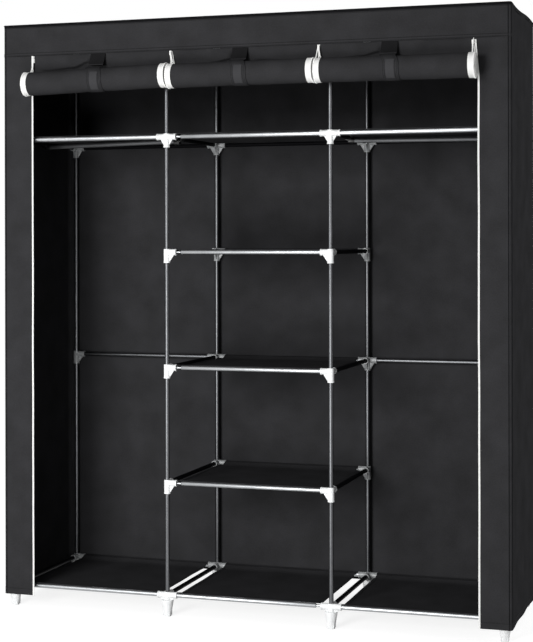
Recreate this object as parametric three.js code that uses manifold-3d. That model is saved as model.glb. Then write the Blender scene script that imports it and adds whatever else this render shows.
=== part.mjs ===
// A free-standing wardrobe of steel tubes, moulded connectors and cloth, 1530 wide, 450 deep and
// 1750 high. Millimetres, +X to the right, +Y to the back, +Z up, seen from the open front.
import * as THREE from "three";
import { mergeVertices } from "three/addons/utils/BufferGeometryUtils.js";
import Module from "manifold-3d";

const wasm = await Module();
wasm.setup();

// Overall sizes of the cloth cover.
const coverWidth = 1530;
const coverDepth = 450;
const coverHeight = 1750;
const hemHeight = 36;
const headerHeight = 87;
const stripWidth = 94;
const clothThickness = 1;

// The steel frame.
const tubeDiameter = 13;
const shelfFrontTubeDiameter = 16;
const cornerPostInset = 23;
const postInset = 20;
const centreColumnWidth = 498;
const bottomRailHeight = 62;
const firstTierPitch = 328;
const tierPitch = 338;
const tubeSides = 10;

// The moulded connectors and feet.
const connectorWall = 2.7;
const connectorSides = 8;
const armReach = 30;
const socketDrop = 31.5;
const tubeSeat = 12;
const gussetSize = 15;
const gussetThickness = 5;
const footHeight = 34;
const footTopDiameter = 32;
const footBottomDiameter = 22;
const footFloor = 14;
const footSides = 12;
const postTopRise = 4;

// The hanging rods.
const rodDrop = 3.5;
const clipLength = 26;

// The shelf cloths.
const shelfSag = 3;
const bottomShelfSideGap = 26;
const centreShelfSideGap = 13;
const upperShelfSideGap = 13;

// The zips.
const zipTapeWidth = 8;
const zipTapeThickness = 2.5;
const sliderWidth = 8;
const sliderHeight = 13;
const sliderThickness = 6;
const sliderPullWidth = 5;
const sliderPullLength = 26;
const sliderPullThickness = 1.2;
const middleZipHalfSpacing = 221;

// The doors, rolled up under the header, with the middle of the rolls so far below the roof.
const rollDiameter = 72;
const rollDrop = 175;
const rollWaist = 1.5;
const rollOverhang = 24;
const rollSpacing = 1;
const rollSides = 24;
const strapWidth = 47;
const strapThickness = 1.2;
const strapOverlap = 5;

// The main folds of the hanging cloth.
const wallFoldDepth = 4;
const backFolds = 6;
const sideFolds = 2;
const doorFolds = 4;
const doorFoldDepth = 3.5;
const stepsPerFold = 8;
const sagSteps = 8;
const strapSteps = 18;

// Clearance between touching pieces, and how far a cut runs past what it cuts.
const clearance = 0.3;
const overrun = 1;

const tubeRadius = tubeDiameter / 2;
const connectorRadius = tubeRadius + clearance + connectorWall;
const cornerPostX = coverWidth / 2 - cornerPostInset;
const middlePostX = centreColumnWidth / 2;
const postY = coverDepth / 2 - postInset;
const postXs = [-cornerPostX, -middlePostX, middlePostX, cornerPostX];
const postNames = ["left", "mid_left", "mid_right", "right"];
const lowShelfHeight = bottomRailHeight + firstTierPitch;
const middleShelfHeight = lowShelfHeight + tierPitch;
const highShelfHeight = middleShelfHeight + tierPitch;
const upperShelfHeight = highShelfHeight + tierPitch;
const roofRailHeight = coverHeight - clothThickness - clearance - connectorRadius;
const postBottom = footFloor + clearance;
const postTop = roofRailHeight + postTopRise;
const headerBottom = coverHeight - headerHeight;
const coverFront = -coverDepth / 2;
const zipTapeFront = coverFront - zipTapeThickness + clothThickness;
const doorClothFront = zipTapeFront - clearance - clothThickness;
const rollRadius = rollDiameter / 2;
const rollHeight = coverHeight - rollDrop;
const rollY = doorClothFront - clearance - rollRadius;
const strapRadius = rollRadius + clearance + strapThickness / 2;
const stripInnerX = coverWidth / 2 - stripWidth;
const outerZipX = stripInnerX - zipTapeWidth - clearance * 2 - sliderWidth / 2;
const frontReach = strapRadius + strapThickness / 2 - rollY;

const black = new THREE.Color("#2b2b2d");
const materials = {
  cloth: { color: black, roughness: 0.85, metalness: 0 },
  steel: { color: new THREE.Color("#8d9093"), roughness: 0.3, metalness: 1 },
  zip: { color: new THREE.Color("#f1f1ef"), roughness: 0.6, metalness: 0 },
};

// Everything is built about the middle of the cover's floor plan. The rolled doors stand out in
// front, so the group is moved to bring the middle of the whole object to the origin.
const wardrobe = new THREE.Group();
wardrobe.position.y = (frontReach - coverDepth / 2) / 2;

function addPiece(name, geometry, material) {
  const mesh = new THREE.Mesh(geometry, new THREE.MeshStandardMaterial(materials[material]));
  mesh.name = name;
  wardrobe.add(mesh);
}

// A closed geometry as a solid that can be joined and cut, and back again.
function solidOf(geometry) {
  const bare = geometry.clone();
  bare.deleteAttribute("normal");
  bare.deleteAttribute("uv");
  const merged = mergeVertices(bare);
  const mesh = new wasm.Mesh({
    numProp: 3,
    vertProperties: Float32Array.from(merged.attributes.position.array),
    triVerts: Uint32Array.from(merged.index.array),
  });
  return new wasm.Manifold(mesh);
}

function geometryOf(solid) {
  const mesh = solid.getMesh();
  const geometry = new THREE.BufferGeometry();
  geometry.setAttribute("position", new THREE.BufferAttribute(mesh.vertProperties, mesh.numProp));
  geometry.setIndex(new THREE.BufferAttribute(mesh.triVerts, 1));
  return geometry;
}

function joined(geometries) {
  return geometries.map(solidOf).reduce((whole, next) => whole.add(next));
}

function cutBy(solid, geometries) {
  return geometries.reduce((rest, geometry) => rest.subtract(solidOf(geometry)), solid);
}

// A round bar along one of the three axes, with its place on the other two.
function bar(axis, from, to, place, radius, sides = tubeSides) {
  const geometry = new THREE.CylinderGeometry(radius, radius, to - from, sides);
  const middle = (from + to) / 2;
  const [first, second] = place;
  if (axis === "x") {
    geometry.rotateZ(-Math.PI / 2);
    geometry.translate(middle, first, second);
  }
  if (axis === "y") geometry.translate(first, middle, second);
  if (axis === "z") {
    geometry.rotateX(Math.PI / 2);
    geometry.translate(first, second, middle);
  }
  return geometry;
}

function box(minX, maxX, minY, maxY, minZ, maxZ) {
  const geometry = new THREE.BoxGeometry(maxX - minX, maxY - minY, maxZ - minZ);
  geometry.translate((minX + maxX) / 2, (minY + maxY) / 2, (minZ + maxZ) / 2);
  return geometry;
}

// An outline in plan, carried straight up.
function upright(points, bottom, top) {
  const geometry = new THREE.ExtrudeGeometry(new THREE.Shape(points), {
    depth: top - bottom,
    bevelEnabled: false,
  });
  geometry.translate(0, 0, bottom);
  return geometry;
}

// An outline seen from the side, with its points in Y and Z, carried across in X.
function across(points, left, right) {
  const geometry = new THREE.ExtrudeGeometry(new THREE.Shape(points), {
    depth: right - left,
    bevelEnabled: false,
  });
  const alongY = new THREE.Vector3(0, 1, 0);
  const alongZ = new THREE.Vector3(0, 0, 1);
  const alongX = new THREE.Vector3(1, 0, 0);
  geometry.applyMatrix4(new THREE.Matrix4().makeBasis(alongY, alongZ, alongX));
  geometry.translate(left, 0, 0);
  return geometry;
}

// A web with a slanting edge, in the corner between an arm and the socket under it.
function gusset(x, y, z, direction) {
  const web = new THREE.Shape();
  web.moveTo(0, 0);
  web.lineTo(connectorRadius + gussetSize, 0);
  web.lineTo(connectorRadius, -connectorRadius - gussetSize);
  web.lineTo(0, -connectorRadius - gussetSize);
  const geometry = new THREE.ExtrudeGeometry(web, { depth: gussetThickness, bevelEnabled: false });
  geometry.translate(0, 0, -gussetThickness / 2);
  geometry.rotateX(Math.PI / 2);
  geometry.rotateZ(Math.atan2(direction[1], direction[0]));
  geometry.translate(x, y, z);
  return geometry;
}

// One moulded connector: an upright socket round the post, and an arm for each tube that it takes.
function connector(x, y, z, directions) {
  const socket = bar(
    "z", z - socketDrop, z + connectorRadius, [x, y], connectorRadius, connectorSides);
  const bodies = [socket];
  for (const direction of directions) {
    const [dx, dy] = direction;
    const reach = (dx + dy) * armReach;
    const low = Math.min(0, reach);
    const high = Math.max(0, reach);
    if (dx !== 0) bodies.push(bar("x", x + low, x + high, [y, z], connectorRadius, connectorSides));
    if (dy !== 0) bodies.push(bar("y", y + low, y + high, [x, z], connectorRadius, connectorSides));
    bodies.push(gusset(x, y, z, direction));
  }
  return bodies;
}

// A foot under a bottom connector, wider at the top than on the floor.
function foot(x, y) {
  const geometry = new THREE.CylinderGeometry(
    footTopDiameter / 2, footBottomDiameter / 2, footHeight, footSides);
  geometry.rotateX(Math.PI / 2);
  geometry.translate(x, y, footHeight / 2);
  return geometry;
}

function postRoom(x, y) {
  return bar("z", footFloor, postTop + clearance, [x, y], tubeRadius + clearance);
}

// The room for a depth tube inside the arms of its front and rear connectors.
function depthTubeRoom(x, z) {
  const end = postY - tubeSeat + clearance;
  return bar("y", -end, end, [x, z], tubeRadius + clearance);
}

// A line of tubes along one side of one level, with the connectors that hold it to the posts.
function railLine(name, { xs, armXs, side, z, radius = tubeRadius, feet = false }) {
  const y = side * postY;
  const first = xs[0];
  const last = xs[xs.length - 1];
  const parts = [bar("x", first, last, [y, z], radius)];
  for (const x of xs) {
    const directions = [];
    if (x > first) directions.push([-1, 0]);
    if (x < last) directions.push([1, 0]);
    if (armXs.includes(x)) directions.push([0, -side]);
    parts.push(...connector(x, y, z, directions));
    if (feet) parts.push(foot(x, y));
  }
  const cuts = xs.map((x) => postRoom(x, y)).concat(armXs.map((x) => depthTubeRoom(x, z)));
  addPiece(name, geometryOf(cutBy(joined(parts), cuts)), "steel");
}

// Posts, one at each corner and two in front and two behind at the centre column.
for (const [sideName, side] of [["front", -1], ["rear", 1]]) {
  postXs.forEach((x, index) => {
    const post = bar("z", postBottom, postTop, [x, side * postY], tubeRadius);
    addPiece(`post_${sideName}_${postNames[index]}`, post, "steel");
  });
}

// Rail lines of every level, front and rear.
const middleXs = [-middlePostX, middlePostX];
const shelfFrontRadius = shelfFrontTubeDiameter / 2;
for (const [sideName, side] of [["front", -1], ["rear", 1]]) {
  const isFront = side < 0;
  railLine(`bottom_rails_${sideName}`, {
    xs: postXs, armXs: postXs, side, z: bottomRailHeight, feet: true,
  });
  railLine(`low_shelf_rail_${sideName}`, {
    xs: middleXs, armXs: middleXs, side, z: lowShelfHeight,
  });
  railLine(`middle_shelf_rail_${sideName}`, {
    xs: isFront ? middleXs : postXs, armXs: middleXs, side, z: middleShelfHeight,
  });
  railLine(`high_shelf_rail_${sideName}`, {
    xs: middleXs, armXs: middleXs, side, z: highShelfHeight,
  });
  railLine(`upper_shelf_rails_${sideName}`, {
    xs: postXs,
    armXs: postXs,
    side,
    z: upperShelfHeight,
    radius: isFront ? shelfFrontRadius : tubeRadius,
  });
}

// Depth tubes, from the front connectors to the rear ones.
function depthTubes(levelName, xs, z) {
  const end = postY - tubeSeat;
  for (const x of xs) {
    const name = `${levelName}_depth_tube_${postNames[postXs.indexOf(x)]}`;
    addPiece(name, bar("y", -end, end, [x, z], tubeRadius), "steel");
  }
}
depthTubes("bottom", postXs, bottomRailHeight);
depthTubes("low_shelf", middleXs, lowShelfHeight);
depthTubes("middle_shelf", middleXs, middleShelfHeight);
depthTubes("high_shelf", middleXs, highShelfHeight);
depthTubes("upper_shelf", postXs, upperShelfHeight);

// The top frame, which carries the cover: two long rails and a depth tube over each pair of posts.
function topFrame() {
  const parts = [];
  for (const side of [-1, 1]) {
    const y = side * postY;
    const armEnd = y - side * armReach;
    parts.push(bar("x", -cornerPostX, cornerPostX, [y, roofRailHeight], tubeRadius));
    for (const x of postXs) {
      parts.push(bar(
        "z", roofRailHeight - socketDrop, roofRailHeight + connectorRadius,
        [x, y], connectorRadius, connectorSides));
      parts.push(bar(
        "y", Math.min(y, armEnd), Math.max(y, armEnd),
        [x, roofRailHeight], connectorRadius, connectorSides));
    }
  }
  for (const x of postXs) parts.push(bar("y", -postY, postY, [x, roofRailHeight], tubeRadius));
  const cuts = [-1, 1].flatMap((side) => postXs.map((x) => postRoom(x, side * postY)));
  addPiece("top_frame", geometryOf(cutBy(joined(parts), cuts)), "steel");
}
topFrame();

// Hanging rods of the two outer columns, clipped round the depth tubes of the upper shelf.
function hangingRod(name, left, right) {
  const z = upperShelfHeight - rodDrop;
  const parts = [bar("x", left, right, [0, z], tubeRadius)];
  for (const x of [left, right]) {
    parts.push(bar(
      "y", -clipLength / 2, clipLength / 2, [x, upperShelfHeight], connectorRadius, connectorSides));
  }
  const cuts = [left, right].map((x) => depthTubeRoom(x, upperShelfHeight));
  addPiece(name, geometryOf(cutBy(joined(parts), cuts)), "steel");
}
hangingRod("hanging_rod_left", -cornerPostX, -middlePostX);
hangingRod("hanging_rod_right", middlePostX, cornerPostX);

// Shelf cloths, laid over the front and rear rails of their level and sagging a little between.
// Their corners are cut out round the arms of the connectors.
function shelfCloth(name, leftPost, rightPost, sideGap, rest) {
  const left = leftPost + sideGap;
  const right = rightPost - sideGap;
  const outline = [];
  const depthAt = (index) => -postY + (2 * postY * index) / sagSteps;
  const dropAt = (index) => shelfSag * (1 - (depthAt(index) / postY) ** 2);
  for (let index = 0; index <= sagSteps; index += 1) {
    outline.push(new THREE.Vector2(depthAt(index), rest - dropAt(index)));
  }
  for (let index = sagSteps; index >= 0; index -= 1) {
    outline.push(new THREE.Vector2(depthAt(index), rest + clothThickness - dropAt(index)));
  }
  const corners = [];
  const notch = armReach + clearance;
  for (const side of [-1, 1]) {
    const inner = side * (postY - notch);
    const outer = side * (postY + overrun);
    for (const [minX, maxX] of [[leftPost, leftPost + notch], [rightPost - notch, rightPost]]) {
      corners.push(box(
        minX, maxX, Math.min(inner, outer), Math.max(inner, outer),
        rest - shelfSag - overrun, rest + clothThickness + overrun));
    }
  }
  addPiece(name, geometryOf(cutBy(joined([across(outline, left, right)]), corners)), "cloth");
}
const columnNames = ["left", "centre", "right"];
columnNames.forEach((columnName, column) => {
  const left = postXs[column];
  const right = postXs[column + 1];
  const bottomRest = bottomRailHeight + tubeRadius + clearance;
  const upperRest = upperShelfHeight + shelfFrontRadius + clearance;
  shelfCloth(`bottom_shelf_${columnName}`, left, right, bottomShelfSideGap, bottomRest);
  shelfCloth(`upper_shelf_${columnName}`, left, right, upperShelfSideGap, upperRest);
});
const centreShelves = { low: lowShelfHeight, middle: middleShelfHeight, high: highShelfHeight };
for (const [levelName, z] of Object.entries(centreShelves)) {
  const rest = z + tubeRadius + clearance;
  shelfCloth(`centre_shelf_${levelName}`, -middlePostX, middlePostX, centreShelfSideGap, rest);
}

// A sheet of cloth in plan, whose folds lie behind the straight line from start to end.
function foldedSheet(start, end, inward, folds, foldDepth) {
  const steps = folds * stepsPerFold;
  const near = [];
  const far = [];
  for (let index = 0; index <= steps; index += 1) {
    const share = index / steps;
    const wave = (1 - Math.cos(2 * Math.PI * folds * share)) / 2;
    const point = new THREE.Vector2().lerpVectors(start, end, share);
    near.push(point.clone().addScaledVector(inward, foldDepth * wave));
    far.push(point.clone().addScaledVector(inward, foldDepth * wave + clothThickness));
  }
  return near.concat(far.reverse());
}

// The cover: a back panel, two sides that turn into the front strips, and a roof with a header.
const wallTop = coverHeight - clothThickness - clearance;
const halfWidth = coverWidth / 2;
const halfDepth = coverDepth / 2;
const backReach = halfWidth - clothThickness - clearance;
const backOutline = foldedSheet(
  new THREE.Vector2(-backReach, halfDepth),
  new THREE.Vector2(backReach, halfDepth),
  new THREE.Vector2(0, -1),
  backFolds,
  wallFoldDepth,
);
addPiece("cover_back", upright(backOutline, hemHeight, wallTop), "cloth");

for (const [sideName, side] of [["left", -1], ["right", 1]]) {
  const wallOutline = foldedSheet(
    new THREE.Vector2(side * halfWidth, -halfDepth),
    new THREE.Vector2(side * halfWidth, halfDepth),
    new THREE.Vector2(-side, 0),
    sideFolds,
    wallFoldDepth,
  );
  const inner = side * stripInnerX;
  const outer = side * (halfWidth - clothThickness / 2);
  const strip = box(
    Math.min(inner, outer), Math.max(inner, outer),
    -halfDepth, -halfDepth + clothThickness,
    hemHeight, headerBottom - clearance,
  );
  const wall = upright(wallOutline, hemHeight, wallTop);
  const top = box(
    -halfWidth - overrun, halfWidth + overrun,
    -halfDepth - overrun, -halfDepth + clothThickness + clearance,
    headerBottom - clearance, wallTop + overrun,
  );
  addPiece(`cover_side_${sideName}`, geometryOf(cutBy(joined([wall, strip]), [top])), "cloth");

  const tapeOuter = side * (stripInnerX - clearance);
  const tapeInner = side * (stripInnerX - clearance - zipTapeWidth);
  const tape = box(
    Math.min(tapeOuter, tapeInner), Math.max(tapeOuter, tapeInner),
    zipTapeFront, zipTapeFront + zipTapeThickness,
    hemHeight, headerBottom - clearance,
  );
  addPiece(`zip_tape_${sideName}`, tape, "zip");
}

const roof = box(-halfWidth, halfWidth, -halfDepth, halfDepth, coverHeight - clothThickness, coverHeight);
const header = box(
  -halfWidth, halfWidth, -halfDepth, -halfDepth + clothThickness, headerBottom, coverHeight);
addPiece("cover_top", geometryOf(joined([roof, header])), "cloth");

// A door rolled up: a thick roll of cloth, drawn in a little where its strap holds it.
function doorRoll(name, left, right) {
  const length = right - left;
  const waist = rollRadius - rollWaist;
  const profile = [
    new THREE.Vector2(0, -length / 2),
    new THREE.Vector2(rollRadius, -length / 2),
    new THREE.Vector2(rollRadius, -strapWidth),
    new THREE.Vector2(waist, -strapWidth / 2),
    new THREE.Vector2(waist, strapWidth / 2),
    new THREE.Vector2(rollRadius, strapWidth),
    new THREE.Vector2(rollRadius, length / 2),
    new THREE.Vector2(0, length / 2),
  ];
  const geometry = new THREE.LatheGeometry(profile, rollSides);
  geometry.rotateZ(-Math.PI / 2);
  geometry.translate((left + right) / 2, rollY, rollHeight);
  addPiece(name, geometryOf(solidOf(geometry)), "cloth");
}

// The stretch of a door between the header and its roll, with the strap that loops round the roll.
function doorDrop(name, left, right) {
  const sheet = foldedSheet(
    new THREE.Vector2(left, doorClothFront),
    new THREE.Vector2(right, doorClothFront),
    new THREE.Vector2(0, 1),
    doorFolds,
    doorFoldDepth,
  );
  const top = headerBottom - clearance;
  const cloth = upright(sheet, rollHeight - strapOverlap, top);

  const start = new THREE.Vector2(doorClothFront, top);
  const centre = new THREE.Vector2(rollY, rollHeight);
  const toStart = start.clone().sub(centre);
  const touchAngle = toStart.angle() + Math.acos(strapRadius / toStart.length());
  const endAngle = 2 * Math.PI + strapOverlap / strapRadius;
  const direction = new THREE.Vector2(Math.cos(touchAngle), Math.sin(touchAngle));
  const outerSide = [start.clone().addScaledVector(direction, strapThickness / 2)];
  const innerSide = [start.clone().addScaledVector(direction, -strapThickness / 2)];
  for (let step = 0; step <= strapSteps; step += 1) {
    const angle = touchAngle + ((endAngle - touchAngle) * step) / strapSteps;
    const spoke = new THREE.Vector2(Math.cos(angle), Math.sin(angle));
    outerSide.push(centre.clone().addScaledVector(spoke, strapRadius + strapThickness / 2));
    innerSide.push(centre.clone().addScaledVector(spoke, strapRadius - strapThickness / 2));
  }
  const middle = (left + right) / 2;
  const loop = across(
    outerSide.concat(innerSide.reverse()), middle - strapWidth / 2, middle + strapWidth / 2);
  const above = box(
    left - overrun, right + overrun, start.x - strapWidth, start.x + strapWidth, top, top + strapWidth);
  addPiece(name, geometryOf(cutBy(joined([cloth, loop]), [above])), "cloth");
}

const zipXs = [-outerZipX, -middleZipHalfSpacing, middleZipHalfSpacing, outerZipX];
columnNames.forEach((columnName, column) => {
  const overhangs = [rollOverhang, 0, 0, rollOverhang];
  const left = zipXs[column] - overhangs[column] + rollSpacing / 2;
  const right = zipXs[column + 1] + overhangs[column + 1] - rollSpacing / 2;
  const edge = sliderWidth / 2 + clearance;
  doorRoll(`door_roll_${columnName}`, left, right);
  doorDrop(`door_drop_${columnName}`, zipXs[column] + edge, zipXs[column + 1] - edge);
});

// A zip slider with its pull, flat in the plane of the tape.
zipXs.forEach((x, index) => {
  const top = headerBottom - clearance;
  const front = doorClothFront;
  const body = box(
    x - sliderWidth / 2, x + sliderWidth / 2, front, front + sliderThickness, top - sliderHeight, top);
  const pull = box(
    x - sliderPullWidth / 2, x + sliderPullWidth / 2,
    front, front + sliderPullThickness,
    top - sliderHeight - sliderPullLength, top - sliderHeight / 2,
  );
  addPiece(`zip_slider_${index + 1}`, geometryOf(joined([body, pull])), "steel");
});

export default wardrobe;
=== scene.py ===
import math

import bpy
from mathutils import Matrix, Vector, noise


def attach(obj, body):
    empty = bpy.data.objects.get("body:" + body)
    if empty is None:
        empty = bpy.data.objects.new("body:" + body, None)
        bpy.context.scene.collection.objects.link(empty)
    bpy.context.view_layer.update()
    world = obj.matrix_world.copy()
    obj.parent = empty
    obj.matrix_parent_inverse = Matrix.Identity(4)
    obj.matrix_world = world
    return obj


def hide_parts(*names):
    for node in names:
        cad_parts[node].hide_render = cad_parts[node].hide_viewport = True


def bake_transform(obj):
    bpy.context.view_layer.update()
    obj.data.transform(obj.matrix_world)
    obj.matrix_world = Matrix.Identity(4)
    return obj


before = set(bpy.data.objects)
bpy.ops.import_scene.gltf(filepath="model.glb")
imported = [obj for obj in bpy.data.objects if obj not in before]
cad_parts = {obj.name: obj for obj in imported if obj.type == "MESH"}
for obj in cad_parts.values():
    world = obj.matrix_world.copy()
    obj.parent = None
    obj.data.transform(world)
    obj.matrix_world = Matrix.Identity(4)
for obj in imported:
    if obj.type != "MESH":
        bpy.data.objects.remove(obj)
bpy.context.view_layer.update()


# The studio. The camera stands to the right of the open front, level, at the height of a person's
# chest, and sees the whole wardrobe on a white floor in front of a white wall.

# The camera's focal length and line of sight are in the photo's pixels and its sensor is in
# millimetres. Turns are in degrees. All other sizes and places in this file are in metres.
PHOTO_WIDTH = 533
PHOTO_HEIGHT = 642
FOCAL_LENGTH = 1469.8
SIGHT_X = 300
SIGHT_Y = 239.6
SENSOR_WIDTH = 36
CAMERA_PLACE = (1.366, -4.179, 1.102)
CAMERA_TURN = 16.75
CAMERA_TILT = 90
CAMERA_ROLL = -0.12


def add_object(name, data):
    """A new object of the scene."""
    made = bpy.data.objects.new(name, data)
    bpy.context.scene.collection.objects.link(made)
    return made


camera_data = bpy.data.cameras.new("camera")
camera_data.sensor_width = SENSOR_WIDTH
camera_data.lens = FOCAL_LENGTH * SENSOR_WIDTH / PHOTO_HEIGHT
camera_data.shift_x = (PHOTO_WIDTH / 2 - SIGHT_X) / PHOTO_HEIGHT
camera_data.shift_y = (SIGHT_Y - PHOTO_HEIGHT / 2) / PHOTO_HEIGHT
camera = add_object("camera", camera_data)
camera.matrix_world = (
    Matrix.Translation(CAMERA_PLACE)
    @ Matrix.Rotation(math.radians(CAMERA_TURN), 4, "Z")
    @ Matrix.Rotation(math.radians(CAMERA_TILT), 4, "X")
    @ Matrix.Rotation(math.radians(CAMERA_ROLL), 4, "Z")
)
bpy.context.scene.camera = camera
bpy.context.scene.view_settings.view_transform = "Standard"


def linear(code, alpha=1.0):
    """A colour written as sRGB hex, as the linear colour that a shader takes, by sRGB's curve."""
    shares = [int(code[i:i + 2], 16) / 255 for i in (1, 3, 5)]
    curved = [s / 12.92 if s <= 0.04045 else ((s + 0.055) / 1.055) ** 2.4 for s in shares]
    return (*curved, alpha)


def add_node(tree, kind, settings=None, inputs=None):
    """Adds a shader node. An input is a value, or another node's output to link."""
    node = tree.nodes.new(kind)
    for key, value in (settings or {}).items():
        setattr(node, key, value)
    for key, value in (inputs or {}).items():
        if isinstance(value, bpy.types.NodeSocket):
            tree.links.new(value, node.inputs[key])
        else:
            node.inputs[key].default_value = value
    return node


def new_material(name, **values):
    """A material, its node tree and its Principled shader, with some of its inputs set."""
    material = bpy.data.materials.new(name)
    material.use_nodes = True
    tree = material.node_tree
    shader = tree.nodes["Principled BSDF"]
    for key, value in values.items():
        shader.inputs[key.replace("_", " ")].default_value = value
    return material, tree, shader


def plug(tree, shader, **outputs):
    """Links outputs of other nodes to a shader's inputs."""
    for key, output in outputs.items():
        tree.links.new(output, shader.inputs[key.replace("_", " ")])


def shown(tree):
    """1 for the rays by which the camera sees a thing directly, mirrored or through glass."""
    ray = add_node(tree, "ShaderNodeLightPath")
    mirrored = add_node(tree, "ShaderNodeMath", {"operation": "MAXIMUM"},
                        {0: ray.outputs["Is Camera Ray"], 1: ray.outputs["Is Glossy Ray"]})
    either = add_node(tree, "ShaderNodeMath", {"operation": "MAXIMUM"},
                      {0: mirrored.outputs[0], 1: ray.outputs["Is Transmission Ray"]})
    return either.outputs[0]


def pick(piece=None):
    """Leaves one piece selected and active, or nothing selected."""
    bpy.ops.object.select_all(action="DESELECT")
    if piece is not None:
        piece.select_set(True)
        bpy.context.view_layer.objects.active = piece


FLOOR_SIZE = 400
FLOOR_GLOW = 0.84
SKY_LIGHT = 0.25
SKY_SEEN = 1.0

# White floor paint: matt, and lit from within so that it looks as white as the wall, with only a
# soft shadow on it.
floor_paint, floor_tree, floor_shader = new_material(
    "white floor paint", Roughness=0.9, Base_Color=linear("#a0a0a0"),
    Emission_Color=linear("#ffffff"))
floor_glow = add_node(floor_tree, "ShaderNodeMath", {"operation": "MULTIPLY"},
                      {0: shown(floor_tree), 1: FLOOR_GLOW})
plug(floor_tree, floor_shader, Emission_Strength=floor_glow.outputs[0])
pick()
bpy.ops.mesh.primitive_plane_add(size=FLOOR_SIZE)
floor = bpy.context.object
floor.name = "studio_floor"
floor.data.materials.append(floor_paint)

world = bpy.data.worlds.new("studio")
bpy.context.scene.world = world
world.use_nodes = True
sky = world.node_tree
sky.nodes["Background"].inputs["Color"].default_value = linear("#ffffff")
sky_level = add_node(sky, "ShaderNodeMapRange", None,
                     {"Value": shown(sky), "To Min": SKY_LIGHT, "To Max": SKY_SEEN})
plug(sky, sky.nodes["Background"], Strength=sky_level.outputs[0])

# Each softbox: its place, what it faces, its width, and its power in watts.
SOFTBOXES = {
    "key_light": ((-1.2, -4.8, 1.9), (0, 0, 1.0), 1.6, 142),
    "floor_light": ((-0.4, -2.4, 0.45), (0, -0.2, 1.5), 0.9, 34),
    "side_light": ((4.2, 0.4, 1.5), (0.8, 0.1, 0.9), 2.0, 60),
}
for name, (place, aim, size, power) in SOFTBOXES.items():
    light = bpy.data.lights.new(name, "AREA")
    light.size = size
    light.energy = power
    softbox = add_object(name, light)
    softbox.location = place
    softbox.rotation_euler = (Vector(aim) - Vector(place)).to_track_quat("-Z", "Y").to_euler()


# The posts. Each is a line of thin-walled tubes of drawn and zinc-plated steel, plugged end to end
# inside the connectors, and made here as one tube. Eight of them stand in the feet and end under
# the roof.
TUBE = 0.013
TUBE_WALL = 0.0006
TUBE_SIDES = 32
OUTER_POST = 0.742
INNER_POST = 0.249
POST_X = (-OUTER_POST, -INNER_POST, INNER_POST, OUTER_POST)
POST_NAMES = ("left", "mid_left", "mid_right", "right")
REAR_DRIFT = (0.008, 0.0065, 0.004, 0.0)
POST_FOOT = 0.0143
POST_TOP = 1.743
FRONT_Y = -0.1667
REAR_Y = 0.2433
SIDES = {"front": FRONT_Y, "rear": REAR_Y}

# How a tube's end is drawn down: the length of each step, and its width as a share of the last.
NECK_STEPS = ((0.0008, 0.94), (0.0022, 0.55))

# How near to a tube's end an edge is part of its rim.
END_REACH = 0.0001

METAL_SMOOTH = 35
DIE_LINES = 60
DIE_WAVES = 3
HANDLING = 0.03


# Drawn and zinc-plated steel: its highlight is drawn out along the tube by sixty fine die lines
# round it, and handling leaves faint clouds 30 mm wide.
def drawn_steel(name, dark, light, least_rough=0.3, most_rough=0.4):
    material, tree, shader = new_material(name, Metallic=1.0)
    tube_map = add_node(tree, "ShaderNodeUVMap", {"uv_map": "UVMap"})
    along_tube = add_node(tree, "ShaderNodeMapping", None,
                          {"Vector": tube_map.outputs[0], "Scale": (DIE_LINES, DIE_WAVES, 1)})
    die_lines = add_node(tree, "ShaderNodeTexNoise", None,
                         {"Vector": along_tube.outputs[0], "Scale": 1.0, "Detail": 3.0})
    place = add_node(tree, "ShaderNodeTexCoord")
    handling = add_node(tree, "ShaderNodeTexNoise", None,
                        {"Vector": place.outputs["Object"], "Scale": 1 / HANDLING, "Detail": 2.0})
    colour = add_node(tree, "ShaderNodeMix", {"data_type": "RGBA"},
                      {0: handling.outputs[0], 6: linear(dark), 7: linear(light)})
    gloss = add_node(tree, "ShaderNodeMapRange", None,
                     {"Value": die_lines.outputs[0], "To Min": least_rough, "To Max": most_rough})
    relief = add_node(tree, "ShaderNodeBump", None,
                      {"Height": die_lines.outputs[0], "Strength": 0.12, "Distance": 0.0002})
    plug(tree, shader, Base_Color=colour.outputs[2], Roughness=gloss.outputs[0],
         Normal=relief.outputs[0])
    return material


# All the steel tubes are of one zinc-plated steel, made here in copies of different tone. The
# posts' copy is darker, painted shade for the dark reflections of the cover's inside; the rails'
# copy is lighter, a painted reflection of the bright studio. The hanging rods' copy is rougher,
# with a tone between the two.
shade_painted_steel = drawn_steel("zinc-plated steel tube, painted shade", "#4e4f51", "#5f6062")
reflection_painted_steel = drawn_steel("zinc-plated steel tube, painted reflection", "#8e9092", "#aaacae")
dull_steel = drawn_steel("dull zinc-plated steel tube", "#606163", "#707173", least_rough=0.6,
                         most_rough=0.7)


def apply_place():
    """Moves the selected shape's place, turn and scale into its mesh."""
    bpy.ops.object.transform_apply(location=True, rotation=True, scale=True)


def finish_piece(piece, name, material, node, body="frame", smooth=METAL_SMOOTH):
    """Gives a modelled piece its name and material, its body, and the node it replaces."""
    pick(piece)
    apply_place()
    bpy.ops.object.shade_smooth_by_angle(angle=math.radians(smooth))
    piece.name = name
    piece.data.name = name
    piece.data.materials.clear()
    piece.data.materials.append(material)
    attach(piece, body)
    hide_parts(node)


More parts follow.
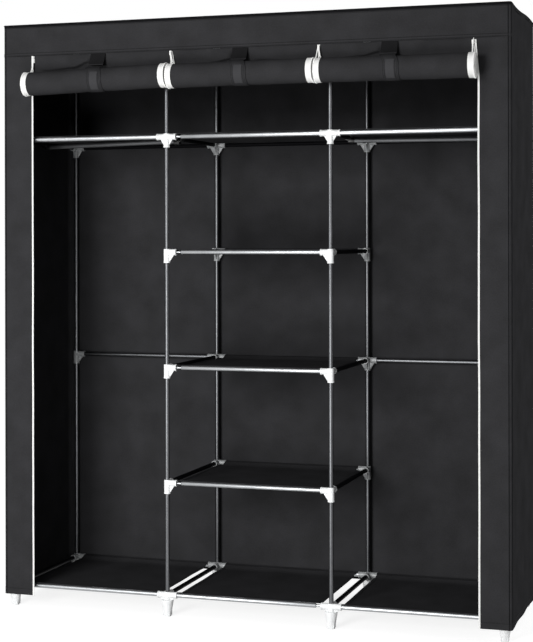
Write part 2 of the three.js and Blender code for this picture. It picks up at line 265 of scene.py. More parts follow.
def draw_down(piece, along, neck):
    """Draws the lower end of an open tube out to a thin plug."""
    bpy.ops.object.mode_set(mode="EDIT")
    bpy.ops.mesh.select_all(action="DESELECT")
    bpy.ops.object.mode_set(mode="OBJECT")
    lowest = min(v.co.z for v in piece.data.vertices)
    for edge in piece.data.edges:
        ends = [piece.data.vertices[i].co.z for i in edge.vertices]
        edge.select = max(ends) < lowest + END_REACH
    bpy.ops.object.mode_set(mode="EDIT")
    drawn = sum(length for length, share in NECK_STEPS)
    for length, share in (*NECK_STEPS, (neck - drawn, 1.0)):
        bpy.ops.mesh.extrude_region_move(TRANSFORM_OT_translate={"value": -along * length})
        bpy.ops.transform.resize(value=(share, share, share))
    bpy.ops.object.mode_set(mode="OBJECT")


def tube(name, start, end, node, diameter=TUBE, neck=0.0, tube_material=reflection_painted_steel):
    """A hollow tube from start to end. With a neck, its start is drawn down to a thin plug."""
    run = Vector(end) - Vector(start)
    pick()
    bpy.ops.mesh.primitive_cylinder_add(
        vertices=TUBE_SIDES, radius=diameter / 2, depth=run.length - neck,
        end_fill_type="NOTHING",
        location=Vector(start) + run.normalized() * (run.length + neck) / 2,
        rotation=run.to_track_quat("Z", "Y").to_euler())
    piece = bpy.context.object
    if neck:
        draw_down(piece, run.normalized(), neck)
    wall = piece.modifiers.new("wall", "SOLIDIFY")
    wall.thickness = TUBE_WALL
    wall.offset = -1
    bpy.ops.object.modifier_apply(modifier="wall")
    finish_piece(piece, name, tube_material, node)


def post_x(index, side):
    """Where a post stands across the wardrobe. The frame is a little out of square at the rear."""
    return POST_X[index] + (REAR_DRIFT[index] if side == "rear" else 0.0)


# The posts take the darker copy of the steel: painted shade.
for side, y in SIDES.items():
    for index, post_name in enumerate(POST_NAMES):
        x = post_x(index, side)
        node = f"post_{side}_{post_name}"
        tube(f"{node}_tube", (x, y, POST_FOOT), (x, y, POST_TOP), node, tube_material=shade_painted_steel)


# The rails. Each level has steel tubes along the front and the rear between its posts. The upper
# front ones are thicker, and in the centre column a drawn-down plug shows at one end. They take the
# lighter copy of the steel, a painted reflection of the bright studio; the middle rear ones take the
# darker copy, painted shade, and the upper rear ones are painted black for the shade inside the
# cover.
FRONT_TUBE = 0.016
TUBE_SEAT = 0.0125
BOTTOM_LEVEL = 0.062
LOW_LEVEL = 0.390
SHELF_SPACING = 0.338
LEVELS = {"bottom": BOTTOM_LEVEL}
for step, level in enumerate(("low", "middle", "high", "upper")):
    LEVELS[level] = LOW_LEVEL + SHELF_SPACING * step
BAY_NAMES = ("left", "centre", "right")
RAIL_NECK = 0.034


def grained(name, dark, light, grain, detail, relief=0.0, depth=0.0002, **values):
    """A material of two tones that follow a fine grain, its size in metres. With a relief, its
    skin rises and falls with the grain."""
    material, tree, shader = new_material(name, **values)
    place = add_node(tree, "ShaderNodeTexCoord")
    skin = add_node(tree, "ShaderNodeTexNoise", None,
                    {"Vector": place.outputs["Object"], "Scale": 1 / grain, "Detail": detail})
    colour = add_node(tree, "ShaderNodeMix", {"data_type": "RGBA"},
                      {0: skin.outputs[0], 6: linear(dark), 7: linear(light)})
    plug(tree, shader, Base_Color=colour.outputs[2])
    if relief:
        bump = add_node(tree, "ShaderNodeBump", None,
                        {"Height": skin.outputs[0], "Strength": relief, "Distance": depth})
        plug(tree, shader, Normal=bump.outputs[0])
    return material


# The same steel painted deep black, standing in for the shade and dark reflections inside the
# cover: smooth and half gloss, with a faint orange peel.
shade_black_steel = grained("steel painted black for shade", "#08080a", "#101012", grain=0.002, detail=1.0,
                        relief=0.1, Roughness=0.55, Specular_IOR_Level=0.03)
# The rear rails of these levels take painted shade: black at the upper level, the darker copy of the
# steel at the middle one.
REAR_PAINTED_SHADE = {"upper": shade_black_steel, "middle": shade_painted_steel}


def rail_bays(level, side):
    """The bays that a level's rails cross: all three, or the centre one alone."""
    if level in ("bottom", "upper", "roof") or (level, side) == ("middle", "rear"):
        return (0, 1, 2)
    return (1,)


def rail_node(level, side):
    """The node that a level's rails and connectors replace."""
    lines = {"bottom": f"bottom_rails_{side}", "upper": f"upper_shelf_rails_{side}",
             "roof": "top_frame"}
    return lines.get(level, f"{level}_shelf_rail_{side}")


def rail_size(level, side):
    """The diameter of a level's rails. The upper front ones are the thicker ones."""
    return FRONT_TUBE if (level, side) == ("upper", "front") else TUBE


def rail_ends(bay, side, z):
    """The left and the right end of a bay's rail, seated in the connectors."""
    y = SIDES[side]
    return (post_x(bay, side) + TUBE_SEAT, y, z), (post_x(bay + 1, side) - TUBE_SEAT, y, z)


for level, z in LEVELS.items():
    for side in SIDES:
        for bay in rail_bays(level, side):
            start, end = rail_ends(bay, side, z)
            if level == "bottom":
                start, end = end, start
            neck = RAIL_NECK if side == "front" and bay == 1 else 0.0
            tube_material = REAR_PAINTED_SHADE.get(level, reflection_painted_steel) if side == "rear" else reflection_painted_steel
            tube(f"{level}_rail_{side}_{BAY_NAMES[bay]}", start, end, rail_node(level, side),
                 rail_size(level, side), neck, tube_material)


# The depth tubes and the top frame. The steel tubes from each front connector to the one behind it
# are painted black for the shade and dark reflections inside the cover. Those of the top frame,
# under the roof, take the lighter copy of the steel, a painted reflection, as the rails do.
ROOF_LEVEL = 1.7392


def depth_ends(index, z):
    """The front and the rear end of the tube behind a post, seated in the connectors."""
    return ((post_x(index, "front"), FRONT_Y + TUBE_SEAT, z),
            (post_x(index, "rear"), REAR_Y - TUBE_SEAT, z))


for level, z in LEVELS.items():
    for index, post_name in enumerate(POST_NAMES):
        if level in ("bottom", "upper") or post_name.startswith("mid"):
            prefix = "bottom" if level == "bottom" else f"{level}_shelf"
            node = f"{prefix}_depth_tube_{post_name}"
            tube(f"{node}_piece", *depth_ends(index, z), node, tube_material=shade_black_steel)
for index, post_name in enumerate(POST_NAMES):
    tube(f"roof_depth_tube_{post_name}", *depth_ends(index, ROOF_LEVEL), "top_frame")
for side in SIDES:
    for bay, bay_name in enumerate(BAY_NAMES):
        tube(f"roof_rail_{side}_{bay_name}", *rail_ends(bay, side, ROOF_LEVEL), "top_frame")


# The connectors. Each is one moulding of polypropylene: a socket round the post, an arm with a
# collar for each tube, and a slanting web under each arm. All are of the same milky white plastic;
# the rear ones take a grey copy of it, painted shade for the dim inside of the cover.
ARM_RADIUS = 0.0092
ARM_REACH = 0.030
ARM_DRAFT = 0.0003
COLLAR_RADIUS = 0.0098
COLLAR_WIDTH = 0.004
COLLAR_EDGE = 0.0004
SOCKET_TOP = 0.0095
SOCKET_DROP = 0.0315
SOCKET_EDGE = 0.0008
WEB_SIZE = 0.0185
UPPER_WEB_SIZE = 0.0140
WEB_THICKNESS = 0.0044
WEB_EDGE = 0.0006
WEB_EDGE_STEPS = 2
ROOM = 0.0002
BORE_START = 0.0118
OVERRUN = 0.05
UP = (0, 0, 1)
ROUND_SIDES = 32


# Polypropylene, injection moulded: light passes into it a little way, and its skin is smooth with a
# faint flow texture.
def moulded_plastic(name, dark, light):
    return grained(name, dark, light, grain=0.006, detail=2.0, relief=0.15, depth=0.0003,
                   IOR=1.49, Roughness=0.34, Subsurface_Weight=0.35,
                   Subsurface_Radius=(0.004, 0.004, 0.004), Subsurface_Scale=1.0)


natural_plastic = moulded_plastic("moulded natural polypropylene", "#e8eaeb", "#f8f9f9")
# The same plastic again, in grey: painted shade for the rear connectors inside the cover.
shade_painted_plastic = moulded_plastic("moulded natural polypropylene, painted shade", "#8f9192", "#aaacad")


def face_outwards():
    """Turns all faces of the mesh in edit mode outwards."""
    bpy.ops.mesh.select_all(action="SELECT")
    bpy.ops.mesh.normals_make_consistent(inside=False)


def turned(stations, direction=UP, sides=ROUND_SIDES):
    """A round shape about a line through the origin, drawn out from (distance, radius) to the
    next, one station after another."""
    pick()
    first_place, first_radius = stations[0]
    bpy.ops.mesh.primitive_circle_add(
        vertices=sides, radius=first_radius, fill_type="NGON", location=(0, 0, 0))
    shape = bpy.context.object
    bpy.ops.object.mode_set(mode="EDIT")
    bpy.ops.transform.translate(value=(0, 0, first_place))
    for (place, radius), (next_place, next_radius) in zip(stations, stations[1:]):
        bpy.ops.mesh.extrude_region_move(
            TRANSFORM_OT_translate={"value": (0, 0, next_place - place)})
        bpy.ops.transform.resize(value=(next_radius / radius, next_radius / radius, 1))
    face_outwards()
    bpy.ops.object.mode_set(mode="OBJECT")
    shape.rotation_euler = Vector(direction).to_track_quat("Z", "Y").to_euler()
    apply_place()
    return shape


def straight(radius, low, high, direction=UP, sides=ROUND_SIDES):
    """A round bar between two distances along a line through the origin."""
    return turned(((low, radius), (high, radius)), direction, sides)


def box(size, place, turn=0.0):
    """A plain block, turned about the upright."""
    pick()
    bpy.ops.mesh.primitive_cube_add(size=1, location=place)
    made = bpy.context.object
    made.scale = size
    made.rotation_euler = (0, 0, turn)
    apply_place()
    return made


def round_edges(shape, width, steps):
    """Rounds all edges of the shape made last."""
    edge_round = shape.modifiers.new("edge_round", "BEVEL")
    edge_round.width = width
    edge_round.segments = steps
    bpy.ops.object.modifier_apply(modifier="edge_round")


def web_under(direction, size):
    """The slanting web in the corner between an arm and the socket."""
    depth = ARM_RADIUS + size
    web = box((depth, WEB_THICKNESS, depth), (depth / 2, 0, -depth / 2))
    for corner in web.data.vertices:
        corner.select = corner.co.x > depth / 2 and corner.co.z < -depth / 2
    for edge in web.data.edges:
        edge.select = all(web.data.vertices[i].select for i in edge.vertices)
    for face in web.data.polygons:
        face.select = False
    bpy.ops.object.mode_set(mode="EDIT")
    bpy.ops.transform.translate(value=(-size, 0, 0))
    bpy.ops.object.mode_set(mode="OBJECT")
    round_edges(web, WEB_EDGE, WEB_EDGE_STEPS)
    web.rotation_euler = (0, 0, math.atan2(direction[1], direction[0]))
    apply_place()
    return web


def combine(base, other, operation):
    """Joins another closed shape to the base, or cuts it away, and removes it."""
    pick(base)
    step = base.modifiers.new("step", "BOOLEAN")
    step.operation = operation
    step.solver = "EXACT"
    step.object = other
    bpy.ops.object.modifier_apply(modifier="step")
    bpy.data.objects.remove(other)


def connector_shape(directions, rail):
    """A connector with an arm in each direction, bored for the post and the tubes."""
    foot = -SOCKET_DROP
    collar_start = ARM_REACH - COLLAR_WIDTH
    web_size = UPPER_WEB_SIZE if rail == FRONT_TUBE else WEB_SIZE
    socket = turned((
        (foot, COLLAR_RADIUS - COLLAR_EDGE), (foot + COLLAR_EDGE, COLLAR_RADIUS),
        (foot + COLLAR_WIDTH, COLLAR_RADIUS), (foot + COLLAR_WIDTH, ARM_RADIUS),
        (SOCKET_TOP - SOCKET_EDGE, ARM_RADIUS), (SOCKET_TOP, ARM_RADIUS - SOCKET_EDGE)))
    for direction in directions:
        arm = turned((
            (0.0, ARM_RADIUS), (collar_start, ARM_RADIUS - ARM_DRAFT),
            (collar_start, COLLAR_RADIUS), (ARM_REACH - COLLAR_EDGE, COLLAR_RADIUS),
            (ARM_REACH, COLLAR_RADIUS - COLLAR_EDGE)), direction)
        combine(socket, arm, "UNION")
        combine(socket, web_under(direction, web_size), "UNION")
    combine(socket, straight(TUBE / 2 + ROOM, -OVERRUN, OVERRUN), "DIFFERENCE")
    for direction in directions:
        bore = (rail if direction[0] else TUBE) / 2 + ROOM
        combine(socket, straight(bore, BORE_START, OVERRUN, direction), "DIFFERENCE")
    return socket


def as_model(shape):
    """The mesh of a shape, to make copies of. Its own object is removed."""
    mesh = shape.data
    bpy.data.objects.remove(shape)
    return mesh


connector_models = {}
for level, z in (*LEVELS.items(), ("roof", ROOF_LEVEL)):
    for side, y in SIDES.items():
        bays = rail_bays(level, side)
        for index in range(bays[0], bays[-1] + 2):
            directions = []
            if index > bays[0]:
                directions.append((-1, 0, 0))
            if index <= bays[-1]:
                directions.append((1, 0, 0))
            if level != "middle" or POST_NAMES[index].startswith("mid"):
                directions.append((0, 1 if side == "front" else -1, 0))
            kind = (*directions, rail_size(level, side))
            if kind not in connector_models:
                connector_models[kind] = as_model(
                    connector_shape(directions, rail_size(level, side)))
            name = f"{level}_connector_{side}_{POST_NAMES[index]}"
            piece = add_object(name, connector_models[kind].copy())
            piece.location = (post_x(index, side), y, z)
            finish_piece(piece, name, natural_plastic if side == "front" else shade_painted_plastic,
                         rail_node(level, side))


# The feet. Under each post a tapered cup of the same natural plastic, with four ribs inside, is
# pushed up round the connector's socket; it stands on its rounded bottom edge.
FOOT_HEIGHT = 0.049
FOOT_SIDES = 40
FOOT_BORE = 0.0142
FOOT_BORE_TOP = 0.07
RIB_SIZE = (0.0078, 0.0016, FOOT_HEIGHT - 0.005)
RIB_RADIUS = 0.0102
RIB_COUNT = 4

# The cup outside and inside, as heights and radii.
FOOT_OUTSIDE = ((0.0, 0.0096), (0.0006, 0.0104), (0.0016, 0.0107), (FOOT_HEIGHT - 0.0008, 0.0182),
                (FOOT_HEIGHT, 0.0176))
FOOT_INSIDE = ((0.004, 0.0088), (FOOT_HEIGHT + 0.001, 0.0164))


def foot_shape():
    """A tapered cup with ribs inside, bored for the connector's socket."""
    cup = turned(FOOT_OUTSIDE, sides=FOOT_SIDES)
    combine(cup, turned(FOOT_INSIDE), "DIFFERENCE")
    for count in range(RIB_COUNT):
        angle = 2 * math.pi * (count + 0.5) / RIB_COUNT
        place = (RIB_RADIUS * math.cos(angle), RIB_RADIUS * math.sin(angle), FOOT_HEIGHT / 2)
        combine(cup, box(RIB_SIZE, place, angle), "UNION")
    combine(cup, straight(COLLAR_RADIUS + ROOM, FOOT_BORE, FOOT_BORE_TOP), "DIFFERENCE")
    return cup


foot_model = as_model(foot_shape())
for side, y in SIDES.items():
    for index, post_name in enumerate(POST_NAMES):
        name = f"foot_{side}_{post_name}"
        foot = add_object(name, foot_model.copy())
        foot.location = (post_x(index, side), y, 0)
        finish_piece(foot, name, natural_plastic, f"bottom_rails_{side}")


# The hanging rods of the two outer columns. Each is a dull steel tube whose ends are held by clips
# of moulded nylon round the depth tubes of the upper level.
CLIP_LENGTH = 0.026
CLIP_EDGE = 0.0006
BOSS_DROP = 0.009
BOSS = ((0.0, COLLAR_RADIUS), (0.016, COLLAR_RADIUS - 0.001), (0.018, 0.0082))
ROD_SEAT = 0.009

# Nylon, injection moulded: deep black, with a faint flow texture.
black_nylon = moulded_plastic("moulded black nylon", "#0a0a0b", "#131314")


def clip_shape():
    """A clip round a depth tube, with a boss under it for the rod's end."""
    half = CLIP_LENGTH / 2
    along_depth = (0, 1, 0)
    clip = turned((
        (-half, COLLAR_RADIUS - CLIP_EDGE), (-half + CLIP_EDGE, COLLAR_RADIUS),
        (half - CLIP_EDGE, COLLAR_RADIUS), (half, COLLAR_RADIUS - CLIP_EDGE)), along_depth)
    boss = turned(BOSS, (1, 0, 0))
    boss.location = (0, 0, -BOSS_DROP)
    apply_place()
    combine(clip, boss, "UNION")
    combine(clip, straight(TUBE / 2 + ROOM, -OVERRUN, OVERRUN, along_depth), "DIFFERENCE")
    return clip


# Each end of a rod: where the depth tube that carries it stands, the end's place from front to
# back, and how far its middle hangs under the tube's. The outer end comes first.
ROD_ENDS = {
    "left": ((POST_X[0], 0.038, 0.0095), (POST_X[1], -0.060, 0.0065)),
    "right": ((POST_X[3], 0.038, 0.0130), (POST_X[2], 0.038, 0.0095)),
}
clip_model = as_model(clip_shape())
for side, ends in ROD_ENDS.items():
    node = f"hanging_rod_{side}"
    (outer, outer_y, outer_drop), (inner, inner_y, inner_drop) = ends
    toward = math.copysign(ROD_SEAT, outer - inner)
    tube(f"{node}_tube", (outer - toward, outer_y, LEVELS["upper"] - outer_drop),
         (inner + toward, inner_y, LEVELS["upper"] - inner_drop), node, tube_material=dull_steel)
    for end_name, x, y, facing in (("outer", outer, outer_y, inner),
                                   ("inner", inner, inner_y, outer)):
        name = f"{node}_clip_{end_name}"
        clip = add_object(name, clip_model.copy())
        clip.location = (x, y, LEVELS["upper"])
        clip.rotation_euler = (0, 0, 0 if facing > x else math.pi)
        finish_piece(clip, name, black_nylon, node)


# The shelf cloths. Each is a panel of black non-woven cloth, hemmed all round, laid over the front
# and rear rails of its level with its corners cut out for the connectors; it hangs a little lower
# between them.
CLOTH = 0.0009
CLOTH_SMOOTH = 50
SEED_SLANT = 1.7


class Panel:
    """A piece of cloth as a grid of places, with its flat sizes across and along in metres."""

    def __init__(self, rows):
        self.rows = rows
        middle = rows[len(rows) // 2]
        column = [row[len(row) // 2] for row in rows]
        self.across = self.distances(middle)
        self.along = self.distances(column)

    @staticmethod
    def distances(line):
        total = [0.0]
        for first, second in zip(line, line[1:]):
            total.append(total[-1] + (second - first).length)
        return total

    @staticmethod
    def locate(stations, value):
        """The step of a list of distances that holds a value, and how far into it that is."""
        low, high = 0, len(stations) - 1
        while high - low > 1:
            middle = (low + high) // 2
            if stations[middle] <= value:
                low = middle
            else:
                high = middle
        span = stations[low + 1] - stations[low]
        return low, (value - stations[low]) / span

    def at(self, u, v):
        """The place at a distance across and along."""
        i, a = self.locate(self.across, u)
        j, b = self.locate(self.along, v)
        low = self.rows[j][i].lerp(self.rows[j][i + 1], a)
        high = self.rows[j + 1][i].lerp(self.rows[j + 1][i + 1], a)
        return low.lerp(high, b)

    def facing(self, u, v):
        """The direction out of the cloth's face."""
        i, _ = self.locate(self.across, u)
        j, _ = self.locate(self.along, v)
        right = self.rows[j][i + 1] - self.rows[j][i]
        up = self.rows[j + 1][i] - self.rows[j][i]
        return right.cross(up).normalized()

    def part(self, left, right, low, high, raised):
        """A smaller panel that lies on this one, such as a hem."""
        us = [left, *[u for u in self.across if left < u < right], right]
        vs = [low, *[v for v in self.along if low < v < high], high]
        return Panel([[self.at(u, v) + self.facing(u, v) * raised for u in us] for v in vs])


def cloth_piece(name, panel, material, thickness, cut=None):
    """A panel as a piece, with its flat map in metres and its thickness. A cut is a function that
    says where the cloth is cut away."""
    wide = len(panel.across)
    faces = []
    for j in range(len(panel.along) - 1):
        for i in range(wide - 1):
            u = (panel.across[i] + panel.across[i + 1]) / 2
            v = (panel.along[j] + panel.along[j + 1]) / 2
            if cut and cut(u, v):
                continue
            first = j * wide + i
            faces.append((first, first + 1, first + wide + 1, first + wide))
    mesh = bpy.data.meshes.new(name)
    mesh.from_pydata([place for row in panel.rows for place in row], [], faces)
    flat = mesh.uv_layers.new(name="flat")
    for loop in mesh.loops:
        j, i = divmod(loop.vertex_index, wide)
        flat.data[loop.index].uv = (panel.across[i], panel.along[j])
    piece = add_object(name, mesh)
    pick(piece)
    if cut:
        bpy.ops.object.mode_set(mode="EDIT")
        bpy.ops.mesh.select_all(action="SELECT")
        bpy.ops.mesh.delete_loose()
        bpy.ops.object.mode_set(mode="OBJECT")
    if thickness:
        layer = piece.modifiers.new("layer", "SOLIDIFY")
        layer.thickness = thickness
        layer.offset = -1
        bpy.ops.object.modifier_apply(modifier="layer")
    bpy.ops.object.shade_smooth_by_angle(angle=math.radians(CLOTH_SMOOTH))
    mesh.materials.append(material)
    return piece


def small_parts(name, places, faces, material):
    """Many small closed shapes, such as stitches, as one piece."""
    mesh = bpy.data.meshes.new(name)
    mesh.from_pydata(places, [], faces)
    piece = add_object(name, mesh)
    pick(piece)
    bpy.ops.object.mode_set(mode="EDIT")
    face_outwards()
    bpy.ops.object.mode_set(mode="OBJECT")
    mesh.materials.append(material)
    return piece


def carry(pieces, body):
    """Gives soft pieces their body."""
    for piece in pieces:
        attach(piece, body)


def ruffle(place, size, seed):
    """A smooth random height between -1 and 1 over waves of a size in metres."""
    return noise.noise(Vector(place) / size + Vector((seed, seed * SEED_SLANT, 0)))


def stepped(start, end, steps):
    """Evenly spaced values from start to end."""
    return [start + (end - start) * index / steps for index in range(steps + 1)]


BOND_SPACING = 0.003
FIBRE_CLUMPS = 0.004
CLOUDS = 0.09
FIBRE_SHARE = 0.6


# Black spunbond polypropylene: a soft matte cloth of pressed fibres, bonded in a grid of small
# points. The grid is drawn at 3 mm, about twice its real spacing, so that it shows.
def nonwoven(name, dark, light):
    material, tree, shader = new_material(
        name, Sheen_Weight=0.02, Sheen_Roughness=0.5, Sheen_Tint=linear("#9a9a9e"),
        Specular_IOR_Level=0.0)
    flat = add_node(tree, "ShaderNodeUVMap", {"uv_map": "flat"})
    bonds = add_node(tree, "ShaderNodeTexVoronoi", {"feature": "F1"},
                     {"Vector": flat.outputs[0], "Scale": 1 / BOND_SPACING, "Randomness": 0.0})
    fibres = add_node(tree, "ShaderNodeTexNoise", None,
                      {"Vector": flat.outputs[0], "Scale": 1 / FIBRE_CLUMPS, "Detail": 4.0})
    clouds = add_node(tree, "ShaderNodeTexNoise", None,
                      {"Vector": flat.outputs[0], "Scale": 1 / CLOUDS, "Detail": 3.0})
    blend = add_node(tree, "ShaderNodeMath", {"operation": "MULTIPLY_ADD"},
                     {0: fibres.outputs[0], 1: FIBRE_SHARE, 2: clouds.outputs[0]})
    shade = add_node(tree, "ShaderNodeMapRange", None,
                     {"Value": blend.outputs[0], "From Min": 0.5, "From Max": 1.1})
    colour = add_node(tree, "ShaderNodeMix", {"data_type": "RGBA"},
                      {0: shade.outputs[0], 6: linear(dark), 7: linear(light)})
    gloss = add_node(tree, "ShaderNodeMapRange", None,
                     {"Value": clouds.outputs[0], "To Min": 0.62, "To Max": 0.8})
    creases = add_node(tree, "ShaderNodeBump", None,
                       {"Height": clouds.outputs[0], "Strength": 0.25, "Distance": 0.006})
    fuzz = add_node(tree, "ShaderNodeBump", None,
                    {"Height": fibres.outputs[0], "Strength": 0.35, "Distance": 0.0004,
                     "Normal": creases.outputs[0]})
    points = add_node(tree, "ShaderNodeBump", None,
                      {"Height": bonds.outputs["Distance"], "Strength": 0.4, "Distance": 0.0003,
                       "Normal": fuzz.outputs[0]})
    plug(tree, shader, Base_Color=colour.outputs[2], Roughness=gloss.outputs[0],
         Normal=points.outputs[0])
    return material


black_nonwoven = nonwoven("black spunbond non-woven", "#2b2b2c", "#363638")

# Black polyester sewing thread: spun, a little glossier than the cloth.
black_thread = grained("black polyester thread", "#070708", "#101012", grain=0.002, detail=1.0,
                       Roughness=0.6, Specular_IOR_Level=0.1)

STITCH_PITCH = 0.0045
STITCH_LENGTH = 0.0035
STITCH_HEIGHT = 0.0004
THIN_STITCH = 0.0011
SEAM_INSET = 0.002


def stitches(name, panel, rows, raised, width=THIN_STITCH):
    """Rows of stitches on a panel, each from one flat place to another."""
    places, faces = [], []
    for start, end in rows:
        run = math.hypot(end[0] - start[0], end[1] - start[1])
        for index in range(int(run / STITCH_PITCH)):
            ends = []
            for shift in (STITCH_PITCH - STITCH_LENGTH, STITCH_PITCH + STITCH_LENGTH):
                share = (index * STITCH_PITCH + shift / 2) / run
                ends.append((start[0] + (end[0] - start[0]) * share,
                             start[1] + (end[1] - start[1]) * share))
            first, last = panel.at(*ends[0]), panel.at(*ends[1])
            up = panel.facing(*ends[0])
            across = up.cross(last - first).normalized() * width / 2
            middle = (first + last) / 2 + up * (raised + STITCH_HEIGHT)
            corner = len(places)
            places += [first - across + up * raised, first + across + up * raised,
                       middle - across, middle + across,
                       last - across + up * raised, last + across + up * raised]
            faces += [(corner, corner + 1, corner + 3, corner + 2),
                      (corner + 2, corner + 3, corner + 5, corner + 4),
                      (corner, corner + 2, corner + 4), (corner + 1, corner + 5, corner + 3),
                      (corner, corner + 4, corner + 5, corner + 1)]
    return small_parts(name, places, faces, black_thread)


HEM_RAISE = 0.0006
HEM_EDGE = 0.0004
SHELF_HEM = 0.012
SHELF_SAG = {"bottom": 0.0095, "upper": 0.0060, "centre": 0.0095}
SHELF_SEED = {"bottom": 3, "upper": 13, "centre": 23}
SHELF_LIFT = 0.0013
SHELF_RUFFLE = 0.0012
RUFFLE_SIZE = 0.11
SAG_REACH = 0.04
NOTCH = 0.0303
NOTCH_EDGE = 0.01
NOTCH_STEPS = 3
SHELF_STEPS_ACROSS = 36
SHELF_STEPS_DEEP = 30


def shelf_cloth(kind, which, number, level, bay, gaps):
    """A shelf cloth of one bay, with a gap to the post at its left and at its right."""
    name = f"{kind}_shelf_cloth_{which}"
    left = POST_X[bay] + gaps[0]
    width = POST_X[bay + 1] - gaps[1] - left
    depth = REAR_Y - FRONT_Y
    top = LEVELS[level] + rail_size(level, "front") / 2 + SHELF_LIFT
    notch_left, notch_right = [max(0.0, NOTCH - gap) for gap in gaps]
    notch_end = width - notch_right
    rear = depth - NOTCH
    us = sorted({0.0, *stepped(notch_left, notch_end, SHELF_STEPS_ACROSS)[:-1], notch_end, width})
    vs = [0.0, *stepped(NOTCH_EDGE, NOTCH, NOTCH_STEPS)[:-1],
          *stepped(NOTCH, rear, SHELF_STEPS_DEEP),
          *stepped(rear, depth - NOTCH_EDGE, NOTCH_STEPS)[1:], depth]
    rows = []
    for v in vs:
        row = []
        for u in us:
            from_rail = min(1.0, min(v, depth - v) / SAG_REACH)
            loose = math.sin(math.pi / 2 * from_rail) ** 2
            drop = SHELF_SAG[kind] * loose
            drop += loose * SHELF_RUFFLE * ruffle((u, v, 0), RUFFLE_SIZE, SHELF_SEED[kind] + number)
            drift = REAR_DRIFT[bay] + (REAR_DRIFT[bay + 1] - REAR_DRIFT[bay]) * u / width
            row.append(Vector((left + u + drift * v / depth, FRONT_Y + v, top - drop)))
        rows.append(row)
    panel = Panel(rows)

    def in_notch(u, v):
        return (u < notch_left or u > notch_end) and (v < NOTCH or v > rear)

    piece = cloth_piece(name, panel, black_nonwoven, CLOTH, cut=in_notch)
    inner = HEM_EDGE + SHELF_HEM
    hems = {
        "left": (HEM_EDGE, inner, NOTCH, rear),
        "right": (width - inner, width - HEM_EDGE, NOTCH, rear),
        "front": (notch_left, notch_end, HEM_EDGE, inner),
        "rear": (notch_left, notch_end, depth - inner, depth - HEM_EDGE),
    }
    trims = [cloth_piece(f"{name}_hem_{hem_name}", panel.part(*bounds, HEM_RAISE), black_nonwoven,
                         HEM_RAISE) for hem_name, bounds in hems.items()]
    seam = inner - SEAM_INSET
    trims.append(stitches(f"{name}_stitches", panel, (
        ((seam, NOTCH), (seam, rear)),
        ((width - seam, NOTCH), (width - seam, rear)),
        ((notch_left, seam), (notch_end, seam)),
        ((notch_left, depth - seam), (notch_end, depth - seam)),
    ), HEM_RAISE))
    carry((piece, *trims), "frame")
    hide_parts(f"{kind}_shelf_{which}")


BOTTOM_GAPS = ((0.026, 0.031), (0.026, 0.038), (0.026, 0.026))
SHELF_GAPS = (0.016, 0.016)
for bay, bay_name in enumerate(BAY_NAMES):
    shelf_cloth("bottom", bay_name, bay, "bottom", bay, BOTTOM_GAPS[bay])
    shelf_cloth("upper", bay_name, bay, "upper", bay, SHELF_GAPS)
for number, level in enumerate(("low", "middle", "high")):
    shelf_cloth("centre", level, number, level, 1, SHELF_GAPS)


# The cover's walls. A back panel, two side panels and two front strips of the same black cloth are
# sewn together at the corners and hang from the roof in long shallow folds. The hem is lowest at
# the two rear corners, and the left side stands a little out.
COVER_LEFT = -0.769
COVER_RIGHT = 0.765
COVER_FRONT = -0.1867
COVER_BACK = 0.2633
COVER_WIDTH = COVER_RIGHT - COVER_LEFT
COVER_DEPTH = COVER_BACK - COVER_FRONT
COVER_SIDES = {"left": COVER_LEFT, "right": COVER_RIGHT}
CORNER = 0.008
CORNER_STEPS = 5
EDGE_INSET = 0.0015
WALL_TOP = 1.7485
HEADER_Z = 1.6545
HEM_Z = 0.036
HEM_WIDTH = 0.02
HEM_START = 0.0005
BACK_HEM_Z = 0.020
BACK_HEM_RISE = 0.024
BACK_HEM_BEND = 8
RIM_WAVE = 0.0038
RIM_REACH = 0.12
FOLD_DEPTH = 0.0035
BACK_FOLDS = 6
SIDE_FOLDS = 2

# How each wall ripples: how deep at its foot, how much of that is lost at its top, by how much the
# ripples are drawn up, how wide they are, and the seed of the noise.
RIPPLES = {
    "back": (0.0028, 0.7, 0.35, 0.13, 5),
    "side": (0.003, 0.8, 0.4, 0.14, 9),
    "strip": (0.0016, 0.0, 0.3, 0.08, 15),
    "header": (0.0012, 0.0, 1.0, 0.12, 41),
}


def ripple(wall, along, z, height=0.0, aside=0.0):
    """How far a wall's cloth stands in, at a place along it and a share of its height."""
    deep, lost, drawn_up, size, seed = RIPPLES[wall]
    wave = ruffle((along, z * drawn_up, aside), size, seed)
    return deep * (1 - lost * height) * (1 + wave) / 2


def long_fold(count, share):
    """How far the long folds of a wall stand in, at a share of its width."""
    return FOLD_DEPTH * (1 - math.cos(2 * math.pi * count * share)) / 2


def rim_dip(x, y):
    """How far the roof's rim hangs under its level. Its right end dips behind the front corner and
    stands up again farther back."""
    share = (y - COVER_FRONT) / COVER_DEPTH
    near = 1 - (COVER_RIGHT - x) / RIM_REACH
    return RIM_WAVE * math.sin(2 * math.pi * share) * max(0.0, min(1.0, near))


def hung(name, panel, node, trims):
    """A hanging panel of the cover as a piece, with its hem and stitches."""
    piece = cloth_piece(name, panel, black_nonwoven, CLOTH)
    carry((piece, *trims), "frame")
    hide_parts(node)


def floor_hem(name, panel):
    """The hem along a wall's foot, and its row of stitches."""
    wide = panel.across[-1]
    hem = cloth_piece(f"{name}_hem", panel.part(0.0, wide, HEM_START, HEM_WIDTH, HEM_RAISE),
                      black_nonwoven, HEM_RAISE)
    seam = HEM_WIDTH - SEAM_INSET
    return [hem, stitches(f"{name}_hem_stitches", panel, (((0.0, seam), (wide, seam)),), HEM_RAISE)]


